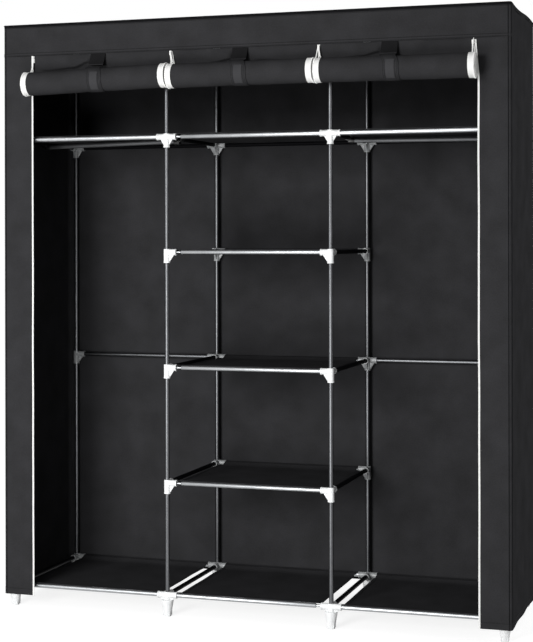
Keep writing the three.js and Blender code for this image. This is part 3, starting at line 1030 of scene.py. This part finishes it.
wall_shares = stepped(0.0, 1.0, steps=90)
back_rows = []
for height in wall_shares:
    row = []
    for x in stepped(COVER_RIGHT - EDGE_INSET, COVER_LEFT + EDGE_INSET, steps=150):
        share = (x - COVER_LEFT) / COVER_WIDTH
        hem = BACK_HEM_Z + BACK_HEM_RISE * (1 - (2 * share - 1) ** BACK_HEM_BEND)
        z = hem + (WALL_TOP - hem) * height
        inward = long_fold(BACK_FOLDS, share) + ripple("back", x, z, height)
        row.append(Vector((x, COVER_BACK - inward, z)))
    back_rows.append(row)
back_panel = Panel(back_rows)
hung("cover_back_panel", back_panel, "cover_back",
     floor_hem("cover_back_panel", back_panel))


def corner_arc(side_x, end_y, start, end):
    """A rounded corner of the cover in plan, between two angles in degrees from the side's line."""
    side = math.copysign(1, side_x)
    way = math.copysign(1, end_y)
    made = []
    for angle in stepped(start, end, CORNER_STEPS):
        turn = math.radians(angle)
        x = side_x - side * CORNER * (1 - math.cos(turn))
        y = end_y - way * CORNER * (1 - math.sin(turn))
        made.append((x, y))
    return made


STRIP_EDGE = {"left": 0.6712, "right": 0.6740}
STRIP_DRIFT = 0.0012
DRIFT_SIZE = 0.22
DRIFT_SEED = 17
TOP_PULL = {"left": 0.0, "right": 0.009}
PULL_START = 1.55
SIDE_LAP = 0.001
HEADER_LAP = 0.0003


def zip_edge(side_name, z):
    """How far the zip's edge stands from the middle. The cloth drifts a little to each side on its
    way down, and its top is pulled in over the last part of its height."""
    drift = STRIP_DRIFT * ruffle((0, len(side_name), z), DRIFT_SIZE, DRIFT_SEED)
    pulled = max(0.0, (z - PULL_START) / (HEADER_Z - PULL_START))
    return STRIP_EDGE[side_name] + drift - TOP_PULL[side_name] * pulled


for side_name, side_x in COVER_SIDES.items():
    side = math.copysign(1, side_x)
    rows = []
    for height in wall_shares:
        plan = []
        for y in stepped(COVER_FRONT + CORNER, COVER_BACK - CORNER, steps=46):
            share = (y - COVER_FRONT) / COVER_DEPTH
            hem = HEM_Z + (BACK_HEM_Z - HEM_Z) * share
            z = hem + (WALL_TOP - rim_dip(side_x, y) - hem) * height
            inward = long_fold(SIDE_FOLDS, share) + ripple("side", y, z, height, side)
            plan.append(Vector((side_x - side * inward * math.sin(math.pi * share), y, z)))
        z = BACK_HEM_Z + (WALL_TOP - BACK_HEM_Z) * height
        for x, y in corner_arc(side_x, COVER_BACK, 0, 90)[1:]:
            plan.append(Vector((x - side * SIDE_LAP, y - SIDE_LAP, z)))
        rows.append(plan if side > 0 else plan[::-1])
    side_panel = Panel(rows)
    name = f"cover_side_panel_{side_name}"
    hung(name, side_panel, f"cover_side_{side_name}",
         floor_hem(name, side_panel))

    rows = []
    for z in stepped(HEM_Z, HEADER_Z - HEADER_LAP, steps=84):
        plan = []
        edge = zip_edge(side_name, z)
        for share in stepped(0.0, 1.0, steps=16):
            x = edge + (abs(side_x) - CORNER - edge) * share
            inward = ripple("strip", x, z, aside=side) * math.sin(math.pi * share)
            plan.append(Vector((side * x, COVER_FRONT + inward, z)))
        for x, y in corner_arc(side_x, COVER_FRONT, 90, 0)[1:]:
            plan.append(Vector((x, y, z)))
        rows.append(plan if side > 0 else plan[::-1])
    strip_panel = Panel(rows)
    name = f"front_strip_{side_name}"
    hung(name, strip_panel, f"cover_side_{side_name}",
         floor_hem(name, strip_panel))


# The roof. It is one panel of the same cloth, laid on the top frame and sewn to the walls all
# round, and it sags between the tubes.
ROOF_Z = 1.7495
ROOF_SAG = 0.0028
ROOF_HOLLOW = 0.0045
ROOF_RUFFLE = 0.0015
ROOF_RUFFLE_SIZE = 0.09
ROOF_SEED = 31
ROOF_HOLD = 0.02


def wave_between(value, stops):
    """0 at each stop and 1 halfway between two."""
    for first, second in zip(stops, stops[1:]):
        if first <= value <= second:
            return math.sin(math.pi * (value - first) / (second - first))
    return 0.0


roof_rows = []
for y in stepped(COVER_FRONT + EDGE_INSET, COVER_BACK - EDGE_INSET, steps=44):
    row = []
    for x in stepped(COVER_LEFT + EDGE_INSET, COVER_RIGHT - EDGE_INSET, steps=140):
        across = wave_between(x, POST_X)
        deep = wave_between(y, (FRONT_Y, REAR_Y))
        from_edge = min(y - COVER_FRONT, COVER_BACK - y, x - COVER_LEFT, COVER_RIGHT - x)
        inside = min(1.0, from_edge / ROOF_HOLD)
        sag = inside * (ROOF_SAG * (across + deep) + ROOF_HOLLOW * across * deep)
        wave = ROOF_RUFFLE * ruffle((x, y, 0), ROOF_RUFFLE_SIZE, ROOF_SEED)
        sag += inside * across * deep * wave
        row.append(Vector((x, y, ROOF_Z - sag - rim_dip(x, y))))
    roof_rows.append(row)
roof = cloth_piece("cover_roof_panel", Panel(roof_rows), black_nonwoven, CLOTH)
carry([roof], "frame")
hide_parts("cover_top")


# The header. A band of the same cloth, sewn under the roof's edge, goes across the front and round
# both corners. Its lower edge is turned up, sewn with two rows of stitches, and stands a little
# forward over the doors.
HEADER_PROUD = 0.0035
PROUD_REACH = 0.05
HEADER_SEAM = 0.001
TURNED_EDGE = 0.0085
TURNED_CLOTH = 0.0009
EDGE_SEAMS = (0.0082, 0.0018)
WIDE_STITCH = 0.0016

header_rows = []
for z in stepped(HEADER_Z, WALL_TOP - HEADER_SEAM, steps=16):
    share = (z - HEADER_Z) / (WALL_TOP - HEADER_Z)
    plan = [Vector((x, y, z)) for x, y in corner_arc(COVER_LEFT, COVER_FRONT, 0, 90)[:-1]]
    for x in stepped(COVER_LEFT + CORNER, COVER_RIGHT - CORNER, steps=150):
        from_corner = min(x - COVER_LEFT - CORNER, COVER_RIGHT - CORNER - x)
        stand = HEADER_PROUD * (1 - share) * min(1.0, from_corner / PROUD_REACH)
        swell = ripple("header", x, z) * math.sin(math.pi * share)
        plan.append(Vector((x, COVER_FRONT + swell - stand, z)))
    plan += [Vector((x, y, z)) for x, y in corner_arc(COVER_RIGHT, COVER_FRONT, 90, 0)[1:]]
    header_rows.append(plan)
header_panel = Panel(header_rows)
header_wide, header_tall = header_panel.across[-1], header_panel.along[-1]
header_fold = cloth_piece(
    "header_turned_edge", header_panel.part(0.0, header_wide, 0.0, TURNED_EDGE, TURNED_CLOTH),
    black_nonwoven, TURNED_CLOTH)
header_stitches = stitches(
    "header_stitches", header_panel, [((0.0, v), (header_wide, v)) for v in EDGE_SEAMS],
    TURNED_CLOTH, WIDE_STITCH)
hung("cover_header", header_panel, "cover_top",
     [header_fold, header_stitches])


# The binding. A folded tape of black polyester taffeta binds the cover's top edge all round over a
# cord, and two thin welts of the same tape close each front corner, one at each end of its curve.
WAVE_TEXTURE_RATE = 20


def woven(name, dark, light, rib_spacing, wander, ribs_run="X", pile=None, **values):
    """A woven material of two tones in ribs, with their spacing in metres. Its relief follows the
    ribs, or the tufts of a pile, with their size in metres."""
    material, tree, shader = new_material(name, **values)
    flat = add_node(tree, "ShaderNodeUVMap", {"uv_map": "flat"})
    ribs = add_node(tree, "ShaderNodeTexWave", {"wave_type": "BANDS", "bands_direction": ribs_run},
                    {"Vector": flat.outputs[0], "Distortion": wander,
                     "Scale": math.tau / WAVE_TEXTURE_RATE / rib_spacing})
    colour = add_node(tree, "ShaderNodeMix", {"data_type": "RGBA"},
                      {0: ribs.outputs["Fac"], 6: linear(dark), 7: linear(light)})
    relief = {"Height": ribs.outputs["Fac"], "Strength": 0.3, "Distance": 0.0003}
    if pile:
        tufts = add_node(tree, "ShaderNodeTexNoise", None,
                         {"Vector": flat.outputs[0], "Scale": 1 / pile, "Detail": 3.0})
        relief = {"Height": tufts.outputs[0], "Strength": 0.5, "Distance": 0.0005}
    bump = add_node(tree, "ShaderNodeBump", None, relief)
    plug(tree, shader, Base_Color=colour.outputs[2], Normal=bump.outputs[0])
    return material


# Polyester taffeta: a tight plain weave, deep black and a little shiny; its ribs are drawn at 2 mm,
# coarser than they are, so that they show.
binding_cloth = woven("black taffeta binding", "#0c0c0d", "#18181a", rib_spacing=0.002,
                      wander=0.8, Roughness=0.8, Specular_IOR_Level=0.03)

WELT_SIDES = 10
SAME_PLACE = 0.00002

# How upright a stretch of a path may be before its sides are found from the depth.
STEEP = 0.7


def welt(name, path, radius):
    """A round welt of covered cord along a path, with a flat map round it and along it."""
    rows = []
    for index, place in enumerate(path):
        before, after = path[max(index - 1, 0)], path[min(index + 1, len(path) - 1)]
        run = (after - before).normalized()
        aside = run.cross(Vector((0, 0, 1) if abs(run.z) < STEEP else (0, 1, 0))).normalized()
        over = aside.cross(run)
        rows.append([place + (aside * math.cos(a) + over * math.sin(a)) * radius
                     for a in stepped(0.0, -2 * math.pi, WELT_SIDES)])
    piece = cloth_piece(name, Panel(rows), binding_cloth, 0.0)
    bpy.ops.object.mode_set(mode="EDIT")
    bpy.ops.mesh.select_all(action="SELECT")
    bpy.ops.mesh.remove_doubles(threshold=SAME_PLACE)
    bpy.ops.mesh.select_all(action="DESELECT")
    bpy.ops.mesh.select_non_manifold()
    bpy.ops.mesh.edge_face_add()
    face_outwards()
    bpy.ops.object.mode_set(mode="OBJECT")
    carry([piece], "frame")


def outline(outset, z):
    """The cover's outline in plan, from the middle of the back round by the left side."""
    left_front = corner_arc(COVER_LEFT, COVER_FRONT, 0, 90)
    right_front = corner_arc(COVER_RIGHT, COVER_FRONT, 90, 0)
    right_back = corner_arc(COVER_RIGHT, COVER_BACK, 0, 90)
    left_back = corner_arc(COVER_LEFT, COVER_BACK, 90, 0)
    right_side = [(COVER_RIGHT, y)
                  for y in stepped(COVER_FRONT + CORNER, COVER_BACK - CORNER, steps=30)]
    loop = [(0.0, COVER_BACK), *left_back, *left_front, *right_front, *right_side[1:-1],
            *right_back, (0.0, COVER_BACK)]
    middle_y = (COVER_FRONT + COVER_BACK) / 2
    grow_x = 1 + outset / COVER_RIGHT
    grow_y = 1 + outset / (COVER_BACK - middle_y)
    return [Vector((x * grow_x, middle_y + (y - middle_y) * grow_y, z - rim_dip(x, y)))
            for x, y in loop]


BINDING_WIDTH = 0.0085
BINDING_CLOTH = 0.0008
BINDING_OUT = 0.0004
BINDING_TOP = 0.001
BINDING_STITCH_RAISE = 0.0002
WELT_OUT = 0.0002
WELT_DROP = 0.0016
WELT_RADIUS = 0.0017
CORNER_WELT_RADIUS = 0.0011
CORNER_WELT_LOW = 0.001
CORNER_WELT_TOP = 0.004
binding_rows = [outline(BINDING_OUT, z)
                for z in stepped(ROOF_Z - BINDING_WIDTH, ROOF_Z - BINDING_TOP, steps=4)]
binding = cloth_piece("cover_top_binding", Panel(binding_rows), binding_cloth, BINDING_CLOTH)
welt("cover_top_welt", outline(WELT_OUT, ROOF_Z - WELT_DROP)[:-1], WELT_RADIUS)
binding_seam = header_tall - BINDING_WIDTH
binding_stitches = stitches(
    "cover_top_stitches", header_panel, (((0.0, binding_seam), (header_wide, binding_seam)),),
    BINDING_STITCH_RAISE, WIDE_STITCH)
carry((binding, binding_stitches), "frame")
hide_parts("cover_top")
for side_name, side_x in COVER_SIDES.items():
    inner_x = side_x - math.copysign(CORNER, side_x)
    for line_name, x, y in (("side", side_x, COVER_FRONT + CORNER),
                            ("front", inner_x, COVER_FRONT)):
        path = [Vector((x, y, z))
                for z in stepped(HEM_Z + CORNER_WELT_LOW, ROOF_Z - CORNER_WELT_TOP, steps=40)]
        welt(f"corner_seam_{side_name}_{line_name}", path, CORNER_WELT_RADIUS)


# The zips' fixed halves. White woven polyester tape is sewn down the inner edge of each front
# strip, with a row of nylon coil along its free edge.
TAPE = 0.0009
TAPE_PROUD = 0.0012
TAPE_WIDTH = 0.0050
TAPE_SHORT = {"left": 0.0003, "right": 0.0050}
COIL_INSET = 0.0014
COIL_PITCH = 0.0022
COIL_MARGIN = 0.001
COIL_HALF_WIDTH = 0.0011
COIL_HALF_LENGTH = 0.0007
COIL_HEIGHT = 0.0012
COIL_REACH = 0.0005

# What keeps a place just inside the edge of its tape.
HAIR = 1e-6

# Woven polyester tape, bleached white: a fine twill, drawn at 1.2 mm so that it shows, with a
# little grey in its valleys.
zip_white = woven("white woven zip tape", "#e6e6e4", "#f4f4f2", rib_spacing=0.0012, wander=0.5,
                  ribs_run="DIAGONAL", Roughness=0.7, Sheen_Weight=0.1)

# Nylon coil, drawn and heat-set: white, smooth and slightly glossy.
zip_nylon = grained("white nylon coil", "#e0e0de", "#f2f2f1", grain=0.004, detail=2.0,
                    Roughness=0.35, IOR=1.53)


def coil_row(name, panel, u):
    """The coil's loops along one edge of a tape, each a small three-sided bar across the edge."""
    places, faces = [], []
    for index in range(int((panel.along[-1] - 2 * COIL_MARGIN) / COIL_PITCH)):
        v = COIL_MARGIN + (index + 0.5) * COIL_PITCH
        centre = panel.at(u, v)
        up = panel.facing(u, v)
        across = (panel.at(min(u + COIL_REACH, panel.across[-1] - HAIR), v)
                  - panel.at(max(u - COIL_REACH, HAIR), v)).normalized()
        along = up.cross(across) * COIL_HALF_LENGTH
        corner = len(places)
        for sign in (-1, 1):
            end = centre + across * COIL_HALF_WIDTH * sign
            places += [end - along, end + along, end + up * COIL_HEIGHT]
        faces += [(corner, corner + 1, corner + 4, corner + 3),
                  (corner + 1, corner + 2, corner + 5, corner + 4),
                  (corner + 2, corner, corner + 3, corner + 5),
                  (corner, corner + 2, corner + 1), (corner + 3, corner + 4, corner + 5)]
    return small_parts(name, places, faces, zip_nylon)


for side_name, side in (("left", -1), ("right", 1)):
    rows = []
    for z in stepped(HEM_Z, HEADER_Z - TAPE_SHORT[side_name], steps=120):
        edge = zip_edge(side_name, z) - TAPE_PROUD
        line = [Vector((side * (edge + x), COVER_FRONT - TAPE_PROUD, z))
                for x in stepped(0.0, TAPE_WIDTH, steps=4)]
        rows.append(line if side > 0 else line[::-1])
    tape_panel = Panel(rows)
    tape = cloth_piece(f"zip_tape_{side_name}_woven", tape_panel, zip_white, TAPE)
    coil_u = COIL_INSET if side > 0 else tape_panel.across[-1] - COIL_INSET
    coil = coil_row(f"zip_coil_{side_name}", tape_panel, coil_u)
    carry((tape, coil), "frame")
    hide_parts(f"zip_tape_{side_name}")


# The doors, rolled up. Each is one long sheet of cloth wound fourteen times round itself; white
# zip tape is sewn along both its side edges and winds with it.
ROLL_Y = -0.2258
ROLL_Z = 1.575
ROLL_RADIUS = 0.0358
ROLL_CORE = 0.005
ROLL_TURNS = 14
STEPS_PER_TURN = 32
ROLL_CLOTH = 0.0008
ROLL_TAPE = 0.018
ROLL_TAPE_CLOTH = 0.0012
ROLL_TAPE_RAISE = 0.0003
ROLL_COIL_INSET = 0.0012
ROLL_ENDS = {
    "left": (-0.6775, -0.2215), "centre": (-0.2205, 0.2205), "right": (0.2215, 0.6765),
}
ROLL_LEAN = {"left": (-0.0095, 0.003), "centre": (0.0, 0.002), "right": (0.001, 0.0)}
WAIST = 0.0014
WAIST_REACH = 0.045
ROLL_SOFT = 0.0009
ROLL_SOFT_SIZE = 0.07
ROLL_SOFT_ROUND = 0.05
ROLL_SEED = 60
END_TUCK = 0.004
TUCK_START = 1.4
TUCK_BEND = 6


def roll_panel(name, us, thicker=0.0):
    """The wound sheet over a range of its width, from the outer end of the door inwards. The strap
    draws it in at its middle, and the inner turns' ends are tucked in."""
    left, right = ROLL_ENDS[name]
    low, high = ROLL_LEAN[name]
    width = right - left
    seed = ROLL_SEED + len(name)
    rows = []
    for step in range(ROLL_TURNS * STEPS_PER_TURN + 1):
        turn = step / STEPS_PER_TURN
        radius = ROLL_RADIUS + (ROLL_CORE - ROLL_RADIUS) * turn / ROLL_TURNS
        over, out = math.sin(2 * math.pi * turn), math.cos(2 * math.pi * turn)
        tuck = END_TUCK * (TUCK_START - radius / ROLL_RADIUS)
        row = []
        for u in us:
            x = left + u
            from_strap = (x - (left + right) / 2) / WAIST_REACH
            waist = WAIST * math.exp(-from_strap * from_strap)
            soft = ROLL_SOFT * ruffle((x, out * ROLL_SOFT_ROUND, over * ROLL_SOFT_ROUND),
                                      ROLL_SOFT_SIZE, seed)
            reach = (radius / ROLL_RADIUS) * (soft - waist) + radius + thicker
            shift = tuck if u < width / 2 else -tuck
            fade = abs(u - width / 2) / (width / 2)
            lean = low + (high - low) * (u / width)
            row.append(Vector((x + shift * fade ** TUCK_BEND, ROLL_Y + reach * out,
                               ROLL_Z + lean - reach * over)))
        rows.append(row)
    return Panel(rows)


for name in BAY_NAMES:
    left, right = ROLL_ENDS[name]
    width = right - left
    wound = roll_panel(name, stepped(ROLL_TAPE, width - ROLL_TAPE, steps=40))
    roll = cloth_piece(f"door_roll_{name}_cloth", wound, black_nonwoven, ROLL_CLOTH)
    carry([roll], f"door_{name}")
    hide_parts(f"door_roll_{name}")
    windings = []
    for end_name, start in (("left", 0.0), ("right", width - ROLL_TAPE)):
        tape_wound = roll_panel(name, stepped(start, start + ROLL_TAPE, steps=4), ROLL_TAPE_RAISE)
        windings.append(cloth_piece(f"door_roll_{name}_tape_{end_name}", tape_wound, zip_white,
                                    ROLL_TAPE_CLOTH))
        coil_u = ROLL_COIL_INSET if end_name == "left" else tape_wound.across[-1] - ROLL_COIL_INSET
        windings.append(coil_row(f"door_roll_{name}_coil_{end_name}", tape_wound, coil_u))
    carry(windings, f"door_{name}")


# The stretch of each door between the header and its roll. It is the same cloth, sewn under the
# header's edge, and bags out over the roll in soft folds or tucks in behind it. The halves of the
# zips' tape run down its edges to the rolls' ends.
DROP_TOP = HEADER_Z - HEADER_LAP
DROP_LOW = 1.5705
DROP_Y = -0.1878
DROP_BACK = 0.0005
DROP_SOFT = 0.0005
DROP_SOFT_SIZE = 0.025
DROP_SEED = 71
FOLD_TURN = 0.007
TUCK_RISE = 0.62
ROLL_TOP = ROLL_Z + ROLL_RADIUS
DROP_EDGES = {"left": (-0.6680, -0.2167), "centre": (-0.2167, 0.2167), "right": (0.2167, 0.6620)}

# Each fold's place is a share of the door's width. How far the cloth stands out there comes next,
# and how high over the roll its crease is.
DROP_FOLDS = {
    "left": (
        (0.0, -0.003, 0.0), (0.1, 0.006, 0.001), (0.3, 0.010, 0.006), (0.395, 0.010, 0.021),
        (0.415, 0.001, 0.028), (0.54, 0.001, 0.004), (0.6, 0.008, 0.003), (0.8, 0.009, 0.003),
        (0.95, 0.003, 0.001), (1.0, -0.003, 0.0)),
    "centre": (
        (0.0, -0.003, 0.008), (0.08, -0.0115, 0.012), (0.2, -0.009, 0.01), (0.3, 0.009, 0.006),
        (0.395, 0.010, 0.013), (0.415, 0.001, 0.018), (0.54, 0.001, 0.01), (0.62, 0.008, 0.008),
        (0.85, 0.008, 0.003), (1.0, -0.003, 0.0)),
    "right": (
        (0.0, -0.003, 0.0), (0.12, 0.007, 0.002), (0.3, 0.009, 0.008), (0.395, 0.009, 0.017),
        (0.415, 0.001, 0.02), (0.55, 0.002, 0.006), (0.6, 0.002, 0.004), (0.72, -0.0115, 0.008),
        (0.93, -0.0115, 0.008), (1.0, -0.003, 0.0)),
}


def eased(share):
    """A share that starts and ends gently."""
    return share * share * (3 - 2 * share)


def fold_at(folds, place):
    """How far a fold stands out at a place across the door, and how high its crease is."""
    for (start, out, high), (end, next_out, next_high) in zip(folds, folds[1:]):
        if start <= place <= end:
            share = eased((place - start) / (end - start))
            return out + (next_out - out) * share, high + (next_high - high) * share
    return folds[-1][1:]


def swell_at(z, out, crease):
    """The share of a fold's depth at a height: it hangs out to its crease and turns in under it. A
    stretch that tucks in is deepest partway down."""
    if out < 0:
        return math.sin(math.pi * ((DROP_TOP - z) / (DROP_TOP - DROP_LOW)) ** TUCK_RISE)
    if z >= crease:
        return math.sin(math.pi / 2 * (DROP_TOP - z) / (DROP_TOP - crease))
    return 1 - eased(min(1.0, (crease - z) / FOLD_TURN))


def drop_panel(name, seed):
    """A door's stretch of cloth, from behind its roll up to the header."""
    left, right = DROP_EDGES[name]
    rows = []
    for z in stepped(DROP_LOW, DROP_TOP, steps=52):
        row = []
        for x in stepped(left, right, steps=110):
            out, high = fold_at(DROP_FOLDS[name], (x - left) / (right - left))
            swell = swell_at(z, out, ROLL_TOP + high)
            soft = DROP_SOFT * ruffle((x, z, 0), DROP_SOFT_SIZE, seed)
            row.append(Vector((x, DROP_Y - out * swell + soft + DROP_BACK, z)))
        rows.append(row)
    return Panel(rows)


# The zip halves are white woven tape. The outer ones spread a little on their way down. The inner
# ones start side by side over their slider and part on their way down to the rolls' ends.
SLIDER_X = (-0.6675, -0.2265, 0.221, 0.6615)
HALF_END = 1.5995
HALF_CLOTH = 0.0012
OUTER_SPREAD = 0.006
OUTER_HALF_WIDTH = 0.0013
INNER_START = 0.0020
INNER_SPREAD = 0.0063
INNER_BEND = 1.5
INNER_HALF_WIDTH = 0.0018
HALF_BACK = 0.0010
HALF_FORWARD = 0.012


def half_panel(edge_x, way, zip_x):
    """A zip half along one edge of a door. The way is 1 for a right edge and -1 for a left one."""
    outer = abs(edge_x) > INNER_POST
    half_width = OUTER_HALF_WIDTH if outer else INNER_HALF_WIDTH
    rows = []
    for z in stepped(HALF_END, DROP_TOP, steps=20):
        share = (DROP_TOP - z) / (DROP_TOP - HALF_END)
        if outer:
            spread = way * OUTER_SPREAD * share
        else:
            spread = (zip_x - way * INNER_START - edge_x) * (1 - share)
            spread -= way * INNER_SPREAD * share ** INNER_BEND
        y = DROP_Y + HALF_BACK - HALF_FORWARD * share ** 2
        rows.append([Vector((edge_x + spread + shift, y, z))
                     for shift in stepped(-half_width, half_width, steps=4)])
    return Panel(rows)


for index, name in enumerate(BAY_NAMES):
    left, right = DROP_EDGES[name]
    drop = cloth_piece(f"door_drop_{name}_cloth", drop_panel(name, DROP_SEED + index),
                       black_nonwoven, CLOTH)
    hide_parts(f"door_drop_{name}")
    halves = [
        cloth_piece(f"door_drop_{name}_tape_left", half_panel(left, -1, SLIDER_X[index]),
                    zip_white, HALF_CLOTH),
        cloth_piece(f"door_drop_{name}_tape_right", half_panel(right, 1, SLIDER_X[index + 1]),
                    zip_white, HALF_CLOTH),
    ]
    for piece in (drop, *halves):
        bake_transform(piece)


# The straps. Each is a folded tab of cloth sewn under the header over the middle of its roll. It
# comes forward over the roll, and goes on round it as a band, with a patch of hook-and-loop tape
# along the middle of its front between two seams.
STRAP_WIDTH = 0.047
STRAP_CLOTH = 0.0012
STRAP_STEPS = 6
STRAP_STITCH = 0.0014
SEAM_GAPS = (0.0030, 0.0075)
SEAM_END = 0.004
PATCH_WIDTH = 0.024
PATCH_CLOTH = 0.0010
PATCH_LIFT = 0.0024
PATCH_START = 146
PATCH_END = 236
TAB_X = {"left": -0.4567, "centre": -0.0129, "right": 0.4275}
TAB_FOOT = (-0.2070, 1.6170)
TAB_PROUD = 0.0012
TAB_END = 0.0030
TAB_END_CLOTH = 0.001
BAND_DRIFT = 0.0155
DRIFT_STEPS = 12
BAND_LIFT = 0.0014
BAND_END = 350
ROLL_PRESSED = 0.0010

# Nylon loop tape: a dense grey pile in narrow woven ribs, lighter than the cloth round it. The ribs
# are drawn at 3 mm and the pile at 1.5 mm, coarser than they are, so that they show.
loop_tape = woven("charcoal loop tape", "#343436", "#3e3e40", rib_spacing=0.003, wander=0.6,
                  pile=0.0015, Roughness=0.85, Specular_IOR_Level=0.1)

# Black strap cloth: the same non-woven, doubled and pressed flat, so darker.
strap_cloth = nonwoven("black doubled non-woven", "#1a1a1b", "#242425")


def round_roll(lift, start_angle, end_angle, steps):
    """Places in Y and Z round the roll at a height above it, by angle from the back over the top."""
    radius = ROLL_RADIUS - ROLL_PRESSED + lift
    angles = [math.radians(angle) for angle in stepped(start_angle, end_angle, steps)]
    return [(ROLL_Y + radius * math.cos(a), ROLL_Z + radius * math.sin(a)) for a in angles]


def strap_panel(middle, width, line, lean=0.0, drift=0.0):
    """A band of a width along a line in Y and Z, facing away from the roll. Its upper end may
    drift to one side."""
    rows = []
    for index, (y, z) in enumerate(line):
        aside = middle + drift * max(0.0, 1 - index / DRIFT_STEPS)
        rows.append([Vector((x, y, z + lean))
                     for x in stepped(aside - width / 2, aside + width / 2, STRAP_STEPS)])
    return Panel(rows[::-1])


# The band leaves the tab's foot in a straight line and touches the roll where its angle starts.
from_roll = Vector(TAB_FOOT) - Vector((ROLL_Y, ROLL_Z))
band_radius = ROLL_RADIUS - ROLL_PRESSED + BAND_LIFT
band_start = math.degrees(math.atan2(from_roll.y, from_roll.x)
                          + math.acos(band_radius / from_roll.length))
band_line = [TAB_FOOT, *round_roll(BAND_LIFT, band_start, BAND_END, steps=48)]
tab_y = DROP_Y - TAB_PROUD
tab_line = [(tab_y + (TAB_FOOT[0] - tab_y) * share, DROP_TOP + (TAB_FOOT[1] - DROP_TOP) * share)
            for share in stepped(0.0, 1.0, steps=12)]
patch_line = round_roll(PATCH_LIFT, PATCH_START, PATCH_END, steps=24)
seam_places = [STRAP_WIDTH / 2 + way * (PATCH_WIDTH / 2 + gap)
               for way in (-1, 1) for gap in SEAM_GAPS]
for name in BAY_NAMES:
    lean = sum(ROLL_LEAN[name]) / 2
    tab_panel = strap_panel(TAB_X[name], STRAP_WIDTH, tab_line)
    tab = cloth_piece(f"strap_tab_{name}", tab_panel, strap_cloth, STRAP_CLOTH)
    turned_end = cloth_piece(
        f"strap_tab_end_{name}", tab_panel.part(0.0, STRAP_WIDTH, 0.0, TAB_END, TAB_END_CLOTH),
        black_nonwoven, TAB_END_CLOTH)
    band_x = TAB_X[name] + BAND_DRIFT
    band_panel = strap_panel(band_x, STRAP_WIDTH, band_line, lean, drift=-BAND_DRIFT)
    band = cloth_piece(f"strap_band_{name}", band_panel, black_nonwoven, STRAP_CLOTH)
    patch_panel = strap_panel(band_x, PATCH_WIDTH, patch_line, lean)
    patch = cloth_piece(f"strap_patch_{name}", patch_panel, loop_tape, PATCH_CLOTH)
    long = band_panel.along[-1]
    seam_rows = [((u, SEAM_END), (u, long - SEAM_END)) for u in seam_places]
    seams = stitches(f"strap_stitches_{name}", band_panel, seam_rows, 0.0, STRAP_STITCH)
    for piece in (tab, turned_end):
        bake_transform(piece)
    carry((band, patch, seams), f"door_{name}")
    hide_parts(f"door_drop_{name}")


# The zip sliders. Each is a small die-cast body of two plates with a bridge, and flat pulls with a
# hole at the end that hang from its loop: one at each outer zip, and one for each door between.
SLIDER_TOP = (1.6455, 1.6525, 1.6525, 1.6490)
SLIDER_Y = -0.1905
PULL_LENGTH = 0.037
PULL_SIZE = (0.0042, 0.0010, PULL_LENGTH - 0.006)
PULL_MIDDLE = -PULL_LENGTH / 2 + 0.0015
PULL_HANGS = (0, -0.0034, -0.0028)
PULL_SPACING = 0.0008
EYE_RADIUS = 0.0034
EYE_THICKNESS = 0.0012
EYE_SIDES = 24
HOLE_RADIUS = 0.0018
HOLE_SIDES = 20
CAST_EDGE = 0.0004
CAST_EDGE_STEPS = 3
CAST_SMOOTH = 40

# The swing of each slider's pulls, in degrees.
SWINGS = ((3,), (-6, -13), (16, -10), (2,))

# The body's blocks, each with its size and its place: the rear plate, the front plate, the bridge
# between them and the loop.
PLATE = (0.0072, 0.0012, 0.0120)
BODY_BLOCKS = (
    (PLATE, (0, 0.0024, -0.0062)),
    (PLATE, (0, -0.0014, -0.0062)),
    ((0.0026, 0.0044, 0.0036), (0, 0.0005, -0.0022)),
    ((0.0022, 0.0024, 0.0076), (0, -0.0028, -0.0058)),
)

# Zinc alloy, die-cast and stoved white: hard, smooth and half glossy.
white_casting = grained("white stoved zinc casting", "#dededc", "#f2f2f0", grain=0.003, detail=3.0,
                        relief=0.15, Roughness=0.4)


def block(size, place):
    """A cast block with rounded edges."""
    made = box(size, place)
    round_edges(made, CAST_EDGE, CAST_EDGE_STEPS)
    return made


def across_pull(radius, half_length, sides):
    """A round shape through the pull's eye, from front to back."""
    shape = straight(radius, -half_length, half_length, (0, 1, 0), sides)
    shape.location = (0, 0, EYE_RADIUS - PULL_LENGTH)
    apply_place()
    return shape


def pull_shape(swing):
    """A flat pull with a round eye at its end, hanging from the slider's loop at an angle."""
    pull = block(PULL_SIZE, (0, 0, PULL_MIDDLE))
    combine(pull, across_pull(EYE_RADIUS, EYE_THICKNESS / 2, EYE_SIDES), "UNION")
    combine(pull, across_pull(HOLE_RADIUS, OVERRUN, HOLE_SIDES), "DIFFERENCE")
    pick(pull)
    pull.rotation_euler = (0, math.radians(swing), 0)
    pull.location = PULL_HANGS
    apply_place()
    return pull


def slider_shape(swings):
    """A slider about its top middle, with a pull at each swing, one in front of the other."""
    blocks = [block(*measures) for measures in BODY_BLOCKS]
    body = blocks[0]
    for other in blocks[1:]:
        combine(body, other, "UNION")
    for layer, swing in enumerate(swings):
        pull = pull_shape(swing)
        pull.location = (0, -PULL_SPACING * layer, 0)
        apply_place()
        combine(body, pull, "UNION")
    return body


for index, x in enumerate(SLIDER_X):
    slider = slider_shape(SWINGS[index])
    slider.location = (x, SLIDER_Y, SLIDER_TOP[index])
    finish_piece(slider, f"zip_slider_{index + 1}_cast", white_casting,
                 f"zip_slider_{index + 1}", body=f"slider_{index + 1}", smooth=CAST_SMOOTH)
